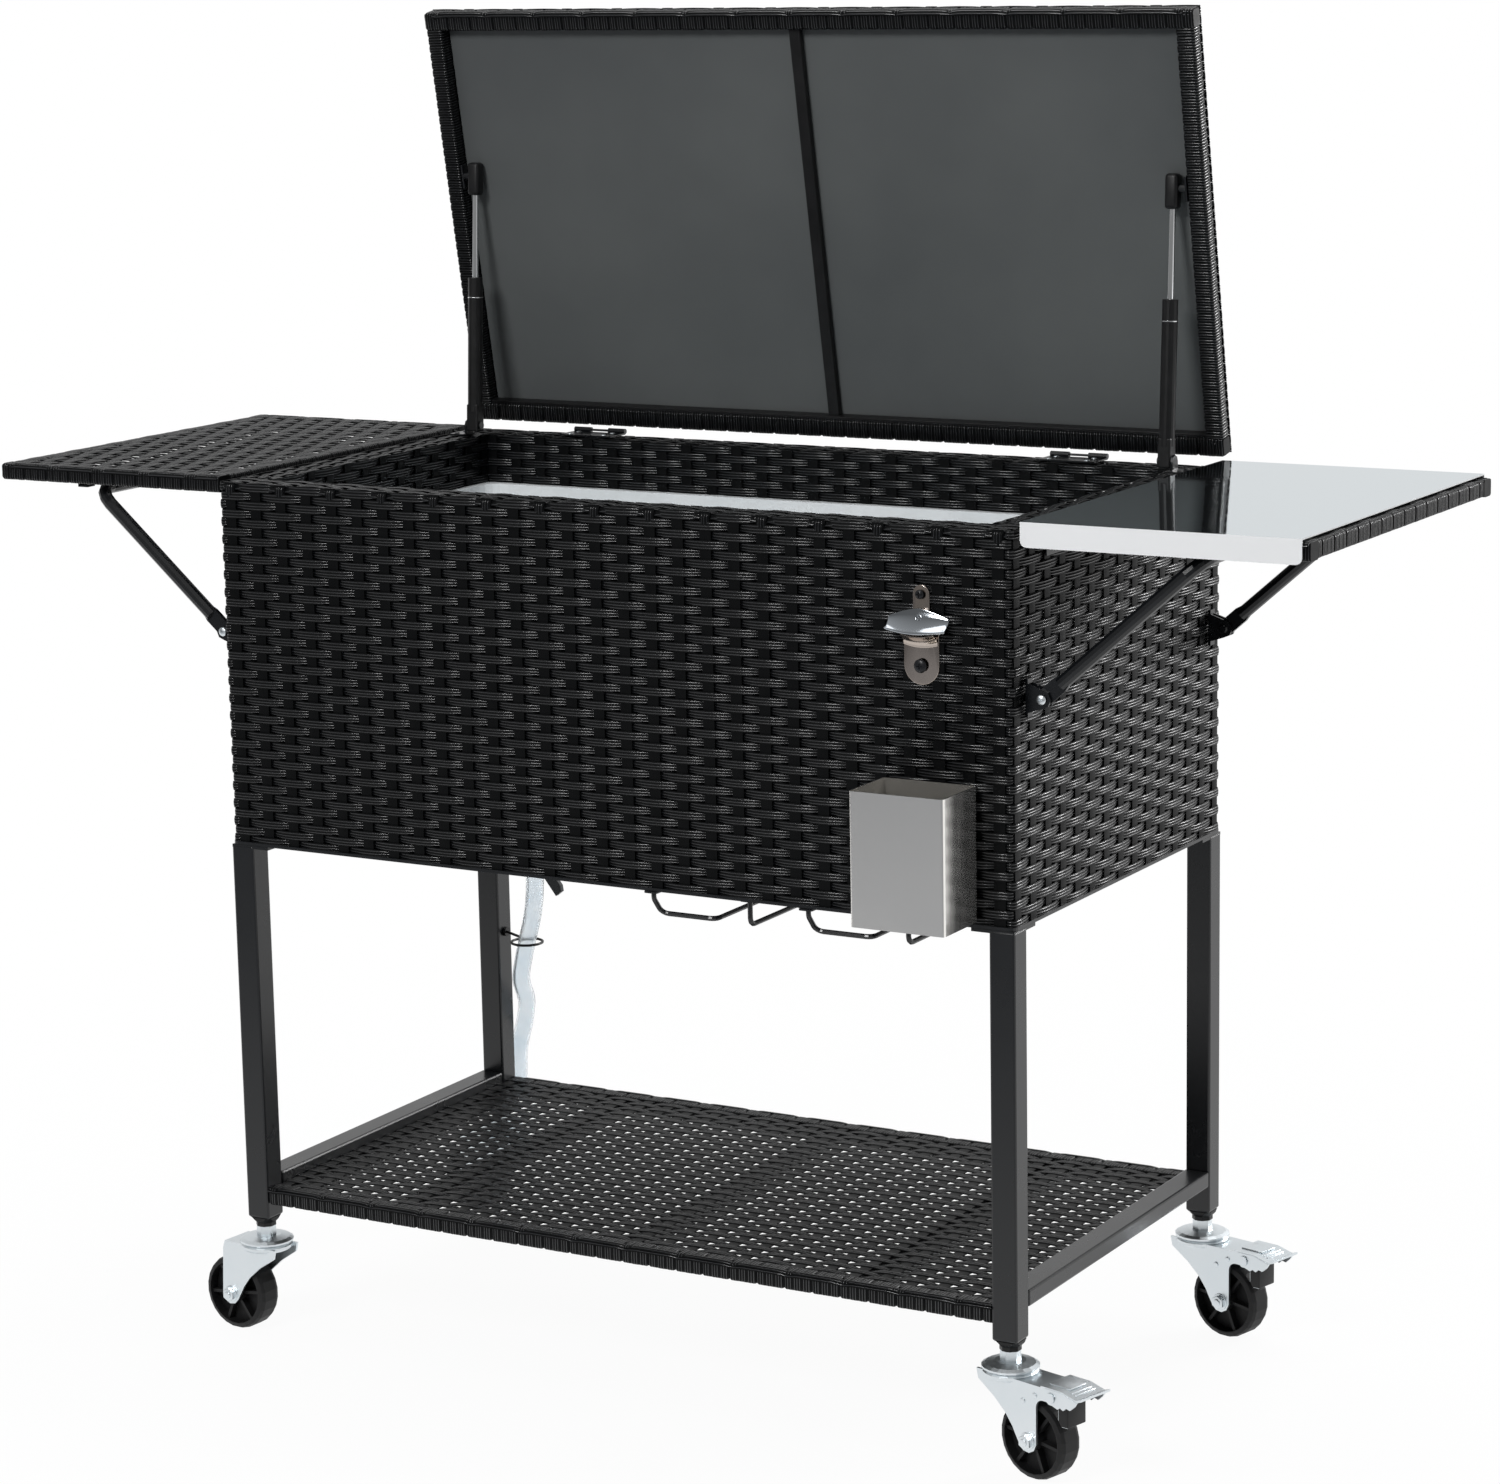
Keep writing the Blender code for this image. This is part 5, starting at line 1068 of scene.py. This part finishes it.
    def drops(self):
        """The weave that goes down inside the rim to the tub."""
        panels = []
        z = BOX_TOP - RIM_DROP / 2
        wide = (BOX_HALF_D - RIM, 2 * (BOX_HALF_W - RIM), self.front[1:-1])
        deep = (BOX_HALF_W - RIM, 2 * (BOX_HALF_D - RIM), self.side[1:-1])
        for name, out, (reach, length, stakes) in (
                ("front", (0, 1, 0), wide), ("rear", (0, -1, 0), wide),
                ("left", (1, 0, 0), deep), ("right", (-1, 0, 0), deep)):
            out = Vector(out)
            point = -out * (reach + self.inset) + Vector((0, BACK_SHIFT, z))
            panels.append(woven_panel("woven_drop_" + name, length, RIM_DROP - 2 * MM,
                                      self.DROP_ROWS, stakes,
                                      facing(point, Vector(UP).cross(out), out)))
        return panels

    def backing(self):
        """The dark skin just behind the weave, so no light shows between strands."""
        deep = self.inset + self.SKIN_BEHIND
        shell = start(bpy.ops.mesh.primitive_cube_add, "weave_backing", size=1)
        low = Vector((deep - BOX_HALF_W, deep - BOX_HALF_D + BACK_SHIFT,
                      BOX_BOTTOM + self.SKIN_FOOT))
        high = Vector((BOX_HALF_W - deep, BOX_HALF_D - deep + BACK_SHIFT, BOX_TOP - deep))
        shell.data.transform(Matrix.LocRotScale((low + high) / 2, None, high - low))
        with editing(shell):
            bpy.ops.mesh.select_all(action="DESELECT")
        for face in shell.data.polygons:
            face.select = face.normal.z > 0.5
        with editing(shell):
            bpy.ops.mesh.select_mode(type="FACE")
            bpy.ops.mesh.inset(thickness=RIM - 2 * deep)
            bpy.ops.mesh.extrude_region_move(
                TRANSFORM_OT_translate={"value": (0, 0, -RIM_DROP)})
            bpy.ops.mesh.delete(type="FACE")
        for face in shell.data.polygons:
            face.select = face.normal.z < -0.5
        with editing(shell):
            bpy.ops.mesh.delete(type="FACE")
        return shaped(shell, "SOLIDIFY", thickness=self.SKIN, offset=-1)


def opened():
    """Turns lid pieces, modelled closed in box terms, into their open place."""
    return (Matrix.Translation(HINGE) @ Matrix.Rotation(-LID_OPEN, 4, "X")
            @ Matrix.Translation(-HINGE))


class COOLER_OT_lid(bpy.types.Operator):
    """Wrap the lid's frame and weave its outer face"""
    bl_idname = "cooler.lid"
    bl_label = "Woven lid"

    BAR_W = 18.8 * MM
    BAR_H = 17 * MM
    DEPTH = 426.5 * MM
    REAR_GAP = 3.8 * MM
    UNDER_GAP = 1.7 * MM
    SIDE_LOW = 0.4 * MM
    LASH_IN = 0.4 * MM
    CENTRE_HALF = 6 * MM
    CORE_IN = 9 * MM
    CORE_TOP = 14 * MM
    COVER_ROWS = 49
    COVER_TOP = 3.8 * MM
    COVER_SWING = 1.6 * MM

    def execute(self, context):
        weave, _ = settings()
        stakes = spread(weave.front_stakes, FRONT_PITCH)
        rear = HINGE.y - self.REAR_GAP
        front = rear - self.DEPTH
        middle = (front + rear) / 2
        low = HINGE.z + self.UNDER_GAP
        half = self.BAR_W / 2
        z = low + self.BAR_H / 2
        wrapped = []
        for name, y in (("front", front + half), ("rear", rear - half)):
            wrapped.append(wrapped_bar("lid_bar_" + name, 2 * BOX_HALF_W, self.BAR_W, self.BAR_H,
                                       facing((0, y, z), ALONG, UP), WRAP, PILLOW))
        for name, side in SIDES:
            x = side * (BOX_HALF_W - half)
            wrapped.append(wrapped_bar("lid_bar_" + name, self.DEPTH - 2 * MM, self.BAR_W,
                                       self.BAR_H - self.SIDE_LOW,
                                       facing((x, middle, z), BACK, UP)))
        wrapped.append(lashing("lid_lashing_front", 2 * BOX_HALF_W - 20 * MM, stakes,
                               facing((0, front + self.LASH_IN, low + self.LASH_IN), ALONG,
                                      (0, -SLANT, -SLANT))))
        x = BOX_HALF_W - self.CORE_IN
        top = low + self.CORE_TOP
        bars = [block("lid_core_rear", (-x, rear - self.BAR_W - 2.5 * MM, low + 3 * MM),
                      (x, rear - 3 * MM, top), 0.5 * MM),
                block("lid_centre_bar", (-self.CENTRE_HALF, front + self.BAR_W, low + 7 * MM),
                      (self.CENTRE_HALF, rear - self.BAR_W, top), 1 * MM)]
        cover_z = low + self.BAR_H + self.COVER_TOP - weave.swing - weave.thick / 2
        cover = woven_panel("woven_lid_cover", 2 * BOX_HALF_W, self.DEPTH, self.COVER_ROWS,
                            stakes, facing((0, middle, cover_z), ALONG, UP),
                            swing=self.COVER_SWING)
        for part in wrapped + bars + [cover]:
            place(part, opened())
        dressed(wrapped, "rattan", "lid")
        dressed(bars, "plastic", "lid")
        dressed([cover], "rattan", "lid")
        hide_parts("lid_frame")
        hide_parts("lid_cover")
        return {"FINISHED"}


class COOLER_OT_shelf(bpy.types.Operator):
    """Weave the shelf and wrap its front and rear bars"""
    bl_idname = "cooler.shelf"
    bl_label = "Woven shelf"

    BAR = 19 * MM
    WRAP = 9.6 * MM
    ROWS = 45
    STAKES = 28
    PITCH = 28.75 * MM
    SWING = 1.5 * MM
    FILL = 0.92
    SINK = 2.8 * MM
    SLATS = (("left", -0.3), ("middle", 0), ("right", 0.3))
    SLAT_HALF = 11 * MM
    SIDE_HALF = 7 * MM

    def execute(self, context):
        low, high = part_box("shelf")
        length = high.x - low.x
        bar = self.BAR
        stakes = spread(self.STAKES, self.PITCH)
        parts = [woven_panel("woven_shelf", length, high.y - low.y - bar, self.ROWS, stakes,
                             facing((0, BACK_SHIFT, high.z - self.SINK), ALONG, UP),
                             fill=self.FILL, swing=self.SWING)]
        for name, y, out in (("front", low.y + bar / 2, -1), ("rear", high.y - bar / 2, 1)):
            parts.append(wrapped_bar("shelf_bar_" + name, length, bar, bar - 1.2 * MM,
                                     facing((0, y, high.z - bar / 2 - 0.6 * MM), ALONG, UP),
                                     self.WRAP, PILLOW))
            parts.append(lashing("shelf_lashing_" + name, length, stakes,
                                 facing((0, y + out * (bar / 2 - 1 * MM), high.z - 1.5 * MM),
                                        ALONG, (0, out * 0.5, 0.866))))
        for name, x in (("left", low.x + bar / 2), ("right", high.x - bar / 2)):
            parts.append(self.slat("shelf_bar_" + name, x, self.SIDE_HALF, 6 * MM))
        slats = [self.slat("shelf_slat_" + name, share * 2 * BOX_HALF_W, self.SLAT_HALF, 7 * MM)
                 for name, share in self.SLATS]
        dressed(parts, "rattan", "cart")
        dressed(slats, "paint", "cart")
        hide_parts("shelf")
        return {"FINISHED"}

    def slat(self, name, x, half, sink):
        """A flat bar from front to rear under the weave."""
        low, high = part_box("shelf")
        return block(name, (x - half, low.y + self.BAR, high.z - self.BAR),
                     (x + half, high.y - self.BAR, high.z - sink), 1 * MM)


class COOLER_OT_trays(bpy.types.Operator):
    """Weave and wrap both side trays, and sink their hooks and hinge leaves under them"""
    bl_idname = "cooler.trays"
    bl_label = "Woven trays"

    BAR = 18 * MM
    HALF = 216 * MM
    INNER = 423.5 * MM
    OUTER = 688.5 * MM
    ROWS = 22
    STAKES = 14
    PITCH = 31 * MM
    STAKE = 8 * MM
    SWING = 1.7 * MM
    FILL = 0.90
    SINK = 2.8 * MM
    LASH_STAKES = 10
    LASH_PITCH = 28 * MM
    SLAT_IN = 56.5 * MM
    SLAT_WIDTH = 57 * MM
    HOOK_Y = 165 * MM
    LEAF_Y = 140 * MM

    def execute(self, context):
        for name, side, node, body in (("left", -1, "left_tray", "left_tray"),
                                       ("right", 1, "right_tray_frame", "right_tray")):
            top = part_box(node)[1].z
            woven = self.tray(name, side, top)
            dressed(woven, "rattan", body)
            dressed(self.underside(name, side, top - self.BAR), "paint", body)
            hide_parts(node)
        return {"FINISHED"}

    def tray(self, name, side, top):
        """The woven panel, its four wrapped bars and the strands along two of them."""
        middle = side * (self.INNER + self.OUTER) / 2
        reach = self.OUTER - self.INNER
        z = top - self.BAR / 2 - 0.8 * MM
        high = self.BAR - 1.6 * MM
        parts = [woven_panel("woven_tray_" + name, 2 * self.HALF - 4 * MM, reach - 4 * MM,
                             self.ROWS, spread(self.STAKES, self.PITCH),
                             facing((middle, BACK_SHIFT, top - self.SINK), BACK, UP),
                             fill=self.FILL, swing=self.SWING, stake_width=self.STAKE)]
        for end, way in ENDS:
            y = way * (self.HALF - self.BAR / 2) + BACK_SHIFT
            parts.append(wrapped_bar("tray_bar_%s_%s" % (end, name), reach, self.BAR, high,
                                     facing((middle, y, z), ALONG, UP), WRAP, PILLOW))
            edge = way * (self.HALF - 1.4 * MM) + BACK_SHIFT
            parts.append(lashing("tray_lashing_%s_%s" % (end, name), reach - 6 * MM,
                                 spread(self.LASH_STAKES, self.LASH_PITCH),
                                 facing((middle, edge, top - 2.2 * MM), ALONG,
                                        (0, way * 0.6, 0.8))))
        for end, x in (("inner", self.INNER + self.BAR / 2), ("outer", self.OUTER - self.BAR / 2)):
            parts.append(wrapped_bar("tray_bar_%s_%s" % (end, name), 2 * self.HALF - 1 * MM,
                                     self.BAR, high - 0.3 * MM,
                                     facing((side * x, BACK_SHIFT, z), BACK, UP), WRAP, PILLOW))
        return parts

    def underside(self, name, side, under):
        """The slat across the tray, its two hooks and its two hinge leaves."""
        out = self.OUTER - self.SLAT_IN
        reach = self.HALF - 14 * MM
        pin = side * (self.INNER + 4 * MM)
        parts = [block("tray_slat_" + name,
                       (side * (out - self.SLAT_WIDTH), BACK_SHIFT - reach, under + 0.4 * MM),
                       (side * out, BACK_SHIFT + reach, under + 3.9 * MM), 0.6 * MM)]
        for end, way in ENDS:
            y = way * self.HOOK_Y + BACK_SHIFT
            for bit, near, bottom, top in (("drop", 4.5 * MM, -10 * MM, 2 * MM),
                                           ("lip", 14 * MM, -10 * MM, -7.5 * MM)):
                parts.append(block("tray_hook_%s_%s_%s" % (bit, end, name),
                                   (side * (out - near), y - 6 * MM, under + bottom),
                                   (side * (out - 2 * MM), y + 6 * MM, under + top), 0.5 * MM))
            y = way * self.LEAF_Y + BACK_SHIFT
            parts.append(block("tray_leaf_%s_%s" % (end, name),
                               (pin, y - 7 * MM, under - 1.6 * MM),
                               (side * (self.INNER + 30 * MM), y + 7 * MM, under + 0.4 * MM),
                               0.4 * MM))
            parts.append(peg("tray_knuckle_%s_%s" % (end, name),
                             (pin, y - 7 * MM, under - 5.5 * MM), BACK, 14 * MM, 3 * MM))
            parts.append(block("tray_web_%s_%s" % (end, name),
                               (pin - side * 1.5 * MM, y - 6.6 * MM, under - 5.5 * MM),
                               (pin + side * 3 * MM, y + 6.6 * MM, under - 1 * MM), 0.3 * MM))
        return parts


class COOLER_OT_tray_hinges(bpy.types.Operator):
    """Make the leaves and knuckles that carry the trays on the side walls"""
    bl_idname = "cooler.tray_hinges"
    bl_label = "Tray hinges"

    LEAF_Y = 140 * MM
    LEAF_HALF = 21 * MM
    PIN_OUT = 7.5 * MM
    PIN_DROP = 1.5 * MM
    KNUCKLE = 14 * MM
    KNUCKLE_IN = 7.3 * MM
    WEB = 13.6 * MM

    def execute(self, context):
        for name, side in SIDES:
            node = "tray_hinge_" + name
            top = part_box(node)[1].z - self.PIN_DROP
            pin = side * (BOX_HALF_W + self.PIN_OUT)
            parts = []
            for end, way in ENDS:
                y = way * self.LEAF_Y + BACK_SHIFT
                parts.append(block("wall_leaf_%s_%s" % (end, name),
                                   (side * (BOX_HALF_W + 0.3 * MM), y - self.LEAF_HALF,
                                    top - 14 * MM),
                                   (side * (BOX_HALF_W + 1.9 * MM), y + self.LEAF_HALF,
                                    top + 1 * MM), 0.4 * MM))
                for number, hand in enumerate((-1, 1)):
                    near = y + hand * self.KNUCKLE_IN
                    parts.append(peg("wall_knuckle_%s_%s_%d" % (end, name, number),
                                     (pin, near, top), (0, hand, 0), self.KNUCKLE, 3 * MM))
                    parts.append(block("wall_web_%s_%s_%d" % (end, name, number),
                                       (side * (BOX_HALF_W + 1 * MM), near, top - 3 * MM),
                                       (pin, near + hand * self.WEB, top), 0.3 * MM))
            dressed(parts, "paint", "cart")
            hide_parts(node)
        return {"FINISHED"}


class COOLER_OT_struts(bpy.types.Operator):
    """Make the polished rod and the black end cap of both gas struts"""
    bl_idname = "cooler.struts"
    bl_label = "Gas struts"

    FOOT = (386 * MM, 172 * MM, 10 * MM)
    ROD_FROM = 101 * MM
    TUBE_TOP = 150.5 * MM
    REACH = 262 * MM
    CAP = (6.5 * MM, 6.75 * MM)
    CAP_FROM = 19 * MM
    CAP_PAST = 14 * MM

    def execute(self, context):
        foot = Vector((0, self.FOOT[1] + BACK_SHIFT, BOX_TOP + self.FOOT[2]))
        tip = opened() @ Vector((0, HINGE.y - self.REACH, foot.z))
        length = (tip - foot).length
        lean = (tip - foot).to_track_quat("Z", "Y").to_matrix().to_4x4()
        wide, deep = self.CAP
        for name, side in SIDES:
            rod = peg("strut_rod_" + name, (0, 0, self.ROD_FROM), UP, length - self.ROD_FROM,
                      3 * MM, 0.4 * MM)
            cap = block("strut_cap_" + name, (-wide, -deep, length - self.CAP_FROM),
                        (wide, deep, length + self.CAP_PAST), 3.6 * MM, 4)
            smooth(cap)
            collar = peg("strut_collar_" + name, (0, 0, self.TUBE_TOP - 20.6 * MM), UP,
                         1 * MM, 7.65 * MM, 0.2 * MM)
            lip = peg("strut_lip_" + name, (0, 0, self.TUBE_TOP - 1.5 * MM), UP,
                      1.3 * MM, 7.6 * MM, 0.4 * MM)
            stand = Matrix.Translation((side * self.FOOT[0], foot.y, foot.z)) @ lean
            for part, finish, slot, body in ((rod, "polished", "zinc", "rod"),
                                             (cap, "plastic", "black_plastic", "rod"),
                                             (collar, "polished", "zinc", "tube"),
                                             (lip, "plastic", "black_plastic", "tube")):
                place(part, stand)
                dressed([part], finish, "strut_%s_%s" % (body, name))
            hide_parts("strut_rod_" + name)
        return {"FINISHED"}


def peg(name, point, way, length, radius, edge=0.3 * MM, sides=32):
    """A round bar from a point along a way, with softened rims."""
    obj = start(bpy.ops.mesh.primitive_cylinder_add, name, vertices=sides, radius=radius,
                depth=length)
    with editing(obj):
        bpy.ops.mesh.select_mode(type="EDGE")
        bpy.ops.mesh.select_all(action="DESELECT")
    for line in obj.data.edges:
        ends = [obj.data.vertices[i].co for i in line.vertices]
        line.select = abs(ends[0].z - ends[1].z) < length / 2
    with editing(obj):
        bpy.ops.mesh.bevel(offset=edge, segments=3, affect="EDGES")
    smooth(obj)
    turn = Vector(way).to_track_quat("Z", "Y").to_matrix().to_4x4()
    middle = Vector(point) + Vector(way) * length / 2
    return place(obj, Matrix.Translation(middle) @ turn)


def carved(obj, cutter):
    """Cut one object with another, which is used up."""
    shaped(obj, "BOOLEAN", operation="DIFFERENCE", solver="EXACT", object=cutter)
    bpy.data.objects.remove(cutter)
    return obj


def cross_screw(name, point, out, radius, rise, cross):
    """A domed screw head with a sunk cross, facing out."""
    head = start(bpy.ops.mesh.primitive_uv_sphere_add, name, segments=24, ring_count=12,
                 radius=radius)
    for vertex in head.data.vertices:
        vertex.co.z = max(vertex.co.z, 0) * rise / radius
    tidy_mesh(head)
    for turn in (0, math.pi / 2):
        slot = start(bpy.ops.mesh.primitive_cube_add, "slot", size=1)
        slot.data.transform(Matrix.Translation((0, 0, rise)) @ Matrix.Rotation(turn, 4, "Z")
                            @ Matrix.Diagonal((cross * 2, cross / 2.6, rise, 1)))
        carved(head, slot)
    smooth(head)
    return place(head, Matrix.Translation(point)
                 @ Vector(out).to_track_quat("Z", "Y").to_matrix().to_4x4())


def plate_from(name, outline, thick, edge):
    """A flat sheet with this outline in X and Z, its front face at Y zero."""
    plate = start(bpy.ops.mesh.primitive_circle_add, name, vertices=len(outline), radius=1,
                  fill_type="NGON")
    for vertex, (x, z) in zip(plate.data.vertices, outline):
        vertex.co = (x, 0, z)
    plate.data.update()
    turned = plate.data.polygons[0].normal.y > 0
    shaped(plate, "SOLIDIFY", thickness=thick, offset=1 if turned else -1)
    shaped(plate, "BEVEL", width=edge, segments=3, limit_method="ANGLE",
           angle_limit=math.radians(40))
    smooth(plate)
    return plate


def bent_sheet(name, columns, rows, thick, edge, point):
    """A bent sheet; point gives its place at a share across, -1 to 1, and down, 0 to 1."""
    sheet = start(bpy.ops.mesh.primitive_grid_add, name, x_subdivisions=columns,
                  y_subdivisions=rows, size=2)
    for vertex in sheet.data.vertices:
        vertex.co = point(vertex.co.x, (1 - vertex.co.y) / 2)
    shaped(sheet, "SOLIDIFY", thickness=thick, offset=0)
    shaped(sheet, "BEVEL", width=edge, segments=2, limit_method="ANGLE",
           angle_limit=math.radians(50))
    tidy_mesh(sheet)
    smooth(sheet)
    return sheet


class COOLER_OT_fittings(bpy.types.Operator):
    """Make the bottle opener and the screws of the wall fittings"""
    bl_idname = "cooler.fittings"
    bl_label = "Opener and screws"

    PLATE = 2.5 * MM
    TAB = 8 * MM
    FOOT = 17 * MM
    HEIGHT = 88 * MM
    HOOD = 32 * MM
    SCREWS = (("upper", 8 * MM, 4.2 * MM), ("lower", 71 * MM, 6.2 * MM))
    BRACKET_SCREW = (16 * MM, 0.699)
    HINGE_SCREW = (20 * MM, 8.5 * MM)
    HINGE_SCREW_SHIFT = 4 * MM

    def execute(self, context):
        low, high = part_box("bottle_opener")
        point = Vector(((low.x + high.x) / 2, high.y, high.z))
        self.opener(point)
        screws = [cross_screw("opener_screw_" + name, point - Vector((0, self.PLATE, drop)),
                              (0, -1, 0), radius, 2.4 * MM, 2.6 * MM)
                  for name, drop, radius in self.SCREWS]
        dressed(screws, "black_steel", "cart")
        dressed(self.bracket_screws() + self.hinge_screws(), "zinc", "cart")
        return {"FINISHED"}

    def bracket_screws(self):
        screws = []
        out, z = self.BRACKET_SCREW
        for end, way in ENDS:
            for name, side in SIDES:
                low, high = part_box("brace_bracket_%s_%s" % (end, name))
                face = low.y if way < 0 else high.y
                screws.append(cross_screw("bracket_screw_%s_%s" % (end, name),
                                          (side * (BOX_HALF_W + out), face - way * 0.6 * MM, z),
                                          (0, way, 0), 4.6 * MM, 2.2 * MM, 1.8 * MM))
        return screws

    def hinge_screws(self):
        screws = []
        reach, half = self.HINGE_SCREW
        for name, _ in SIDES:
            low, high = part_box("lid_hinge_" + name)
            middle = (low + high) / 2
            for number, x in enumerate((-reach, reach)):
                for row, y in enumerate((-half, half)):
                    screws.append(cross_screw("hinge_screw_%s_%d_%d" % (name, number, row),
                                              (middle.x + x,
                                               middle.y - self.HINGE_SCREW_SHIFT + y,
                                               low.z + 1.8 * MM),
                                              UP, 2.9 * MM, 1.1 * MM, 1.2 * MM))
        return screws

    def hood_point(self, across, down):
        """Where the hood's sheet is: it bows out and its wings droop."""
        high = 8 * MM * (1 - abs(across) ** 1.5) + 1 * MM
        low = 3 * MM * across * across - 12 * MM
        bow = 14 * MM * down ** 1.6 * (1 - 0.25 * across * across) + 3.5 * MM
        return Vector((across * 29.5 * MM, -bow,
                       high + (low - high) * down - self.HOOD + 3 * MM))

    def lip_point(self, across, down):
        """Where the sheet of the lip under the hood is."""
        return Vector((across * 16.6 * MM, -9 * MM * (1 - down) ** 2 - 0.6 * MM,
                       -self.HOOD - (12 + 11 * down - 2.5 * across * across) * MM))

    def opener(self, point):
        """Tab and foot from one sheet, with a winged hood that lifts the cap."""
        tab, foot, neck = self.TAB, self.FOOT, -self.HOOD - 4 * MM
        outline = [(tab * math.cos(t), tab * math.sin(t) - tab)
                   for t in (math.pi * i / 12 for i in range(13))]
        outline += [(-tab, tab - self.HOOD), (-foot, neck)]
        outline += [(foot * math.cos(t), foot * math.sin(t) + foot - self.HEIGHT)
                    for t in (math.pi * (1 + i / 16) for i in range(17))]
        outline += [(foot, neck), (tab, tab - self.HOOD)]
        back = plate_from("opener_plate", outline, self.PLATE, 0.6 * MM)
        hood = bent_sheet("opener_hood", 32, 12, 2.4 * MM, 0.7 * MM, self.hood_point)
        ring = start(bpy.ops.mesh.primitive_torus_add, "opener_ring", major_radius=2.6 * MM,
                     minor_radius=0.9 * MM, major_segments=32, minor_segments=12)
        place(ring, Matrix.Translation(self.hood_point(0.05, 0.36) + Vector((0, -1.3 * MM, 0)))
              @ Matrix.Rotation(math.radians(72), 4, "X"))
        smooth(ring)
        lip = bent_sheet("opener_lip", 24, 8, 1.6 * MM, 0.4 * MM, self.lip_point)
        for part in (back, hood, ring, lip):
            place(part, Matrix.Translation(point))
        dressed([back, lip], "plate", "cart")
        dressed([hood, ring], "hood", "cart")
        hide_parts("bottle_opener")


class COOLER_OT_casters(bpy.types.Operator):
    """Add the nuts, washers, rivets, pedal treads and brake shoes of the casters"""
    bl_idname = "cooler.casters"
    bl_label = "Caster details"

    AXLE = (35 * MM, 37.2 * MM)
    CHEEK = 17.5 * MM
    TURNS = (("front_left", 174), ("front_right", -16), ("rear_left", 172), ("rear_right", -14))
    BRAKED = ("front_right", "rear_right")
    RIVETS = ((44 * MM, 82 * MM), (30 * MM, 74 * MM))
    LEVER_TOP = 94 * MM
    LEVER_SLOPE = 0.24
    TYRE_ROOM = 41.2 * MM
    SHOE = ((66.8 * MM, -12.3 * MM, 57.8 * MM), (78.2 * MM, 12.3 * MM, 90.5 * MM))

    def execute(self, context):
        for name, turn in self.TURNS:
            leg = middle_of("leg_plug_" + name)
            stand = (Matrix.Translation((leg.x, leg.y, 0))
                     @ Matrix.Rotation(math.radians(turn), 4, "Z"))
            made = [(part, "zinc", "fork_") for part in self.bolts(name)]
            if name in self.BRAKED:
                made += self.pedal(name)
            for part, finish, body in made:
                place(part, stand)
                dressed([part], finish, body + name)
        return {"FINISHED"}

    def bolts(self, name):
        """Hexagon nuts on washers at the axle, and rivets through the cheeks."""
        x, z = self.AXLE
        parts = []
        for end, hand in (("near", -1), ("far", 1)):
            face = hand * (self.CHEEK - 0.2 * MM)
            rods = [("axle_washer_%s_%s", 0, 1.2 * MM, 8 * MM, 0.3 * MM, 32),
                    ("axle_nut_%s_%s", 1 * MM, 4.2 * MM, 7 * MM, 0.5 * MM, 6),
                    ("axle_end_%s_%s", 5 * MM, 1.4 * MM, 3.6 * MM, 0.6 * MM, 24)]
            for label, out, length, radius, edge, sides in rods:
                parts.append(peg(label % (end, name), (x, face + hand * out, z), (0, hand, 0),
                                 length, radius, edge, sides))
            if name in self.BRAKED:
                for number, (at, high) in enumerate(self.RIVETS):
                    parts.append(peg("fork_rivet_%s_%s_%d" % (end, name, number),
                                     (at, face, high), (0, hand, 0), 1.1 * MM, 2.6 * MM,
                                     0.5 * MM, 24))
        return parts

    def pedal(self, name):
        """The pressed tread on the lever, its rolled tip and its black shoe."""
        x, z = self.AXLE
        top = self.LEVER_TOP
        tyre = peg("tyre", (x, -20 * MM, z), BACK, 40 * MM, self.TYRE_ROOM, sides=96)
        shoe = carved(block("pedal_shoe_" + name, *self.SHOE, 1.2 * MM, 3), tyre)
        tread = block("pedal_tread_" + name, (56 * MM, -11 * MM, top - 0.4 * MM),
                      (80 * MM, 11 * MM, top + 1.1 * MM), 0.7 * MM, 3)
        parts = [(shoe, "plastic", "pedal_"), (tread, "zinc", "pedal_")]
        for number, x in enumerate((84 * MM, 88 * MM)):
            ridge = peg("pedal_ridge_%s_%d" % (name, number),
                        (x, -13 * MM, top - (x - 77 * MM) * self.LEVER_SLOPE), BACK, 26 * MM,
                        0.9 * MM, 0.3 * MM, 16)
            parts.append((ridge, "zinc", "pedal_"))
        for part, _, _ in parts:
            smooth(part)
        return parts


class COOLER_PT_panel(bpy.types.Panel):
    """Lists the pieces and their settings"""
    bl_label = "Patio cooler"
    bl_idname = "COOLER_PT_panel"
    bl_space_type = "VIEW_3D"
    bl_region_type = "UI"
    bl_category = "Cooler"

    def draw(self, context):
        for group in (context.scene.cooler_weave, context.scene.cooler_finish,
                      context.scene.cooler_stage):
            for name in group.__annotations__:
                self.layout.prop(group, name)
        for operator in OPERATORS:
            self.layout.operator(operator.bl_idname)


GROUPS = {"cooler_weave": CoolerWeave, "cooler_finish": CoolerFinish,
          "cooler_stage": CoolerStage}
OPERATORS = (COOLER_OT_stage, COOLER_OT_hose, COOLER_OT_finishes, COOLER_OT_box, COOLER_OT_lid,
             COOLER_OT_shelf, COOLER_OT_trays, COOLER_OT_tray_hinges, COOLER_OT_struts,
             COOLER_OT_fittings, COOLER_OT_casters)


def register():
    for name, group in GROUPS.items():
        bpy.utils.register_class(group)
        setattr(bpy.types.Scene, name, bpy.props.PointerProperty(type=group))
    for item in (*OPERATORS, COOLER_PT_panel):
        bpy.utils.register_class(item)


def unregister():
    for item in reversed((*OPERATORS, COOLER_PT_panel)):
        bpy.utils.unregister_class(item)
    for name, group in GROUPS.items():
        delattr(bpy.types.Scene, name)
        bpy.utils.unregister_class(group)


def main():
    register()
    make_materials()
    for operator in OPERATORS:
        group, name = operator.bl_idname.split(".")
        getattr(getattr(bpy.ops, group), name)()


if __name__ == "__main__":
    main()
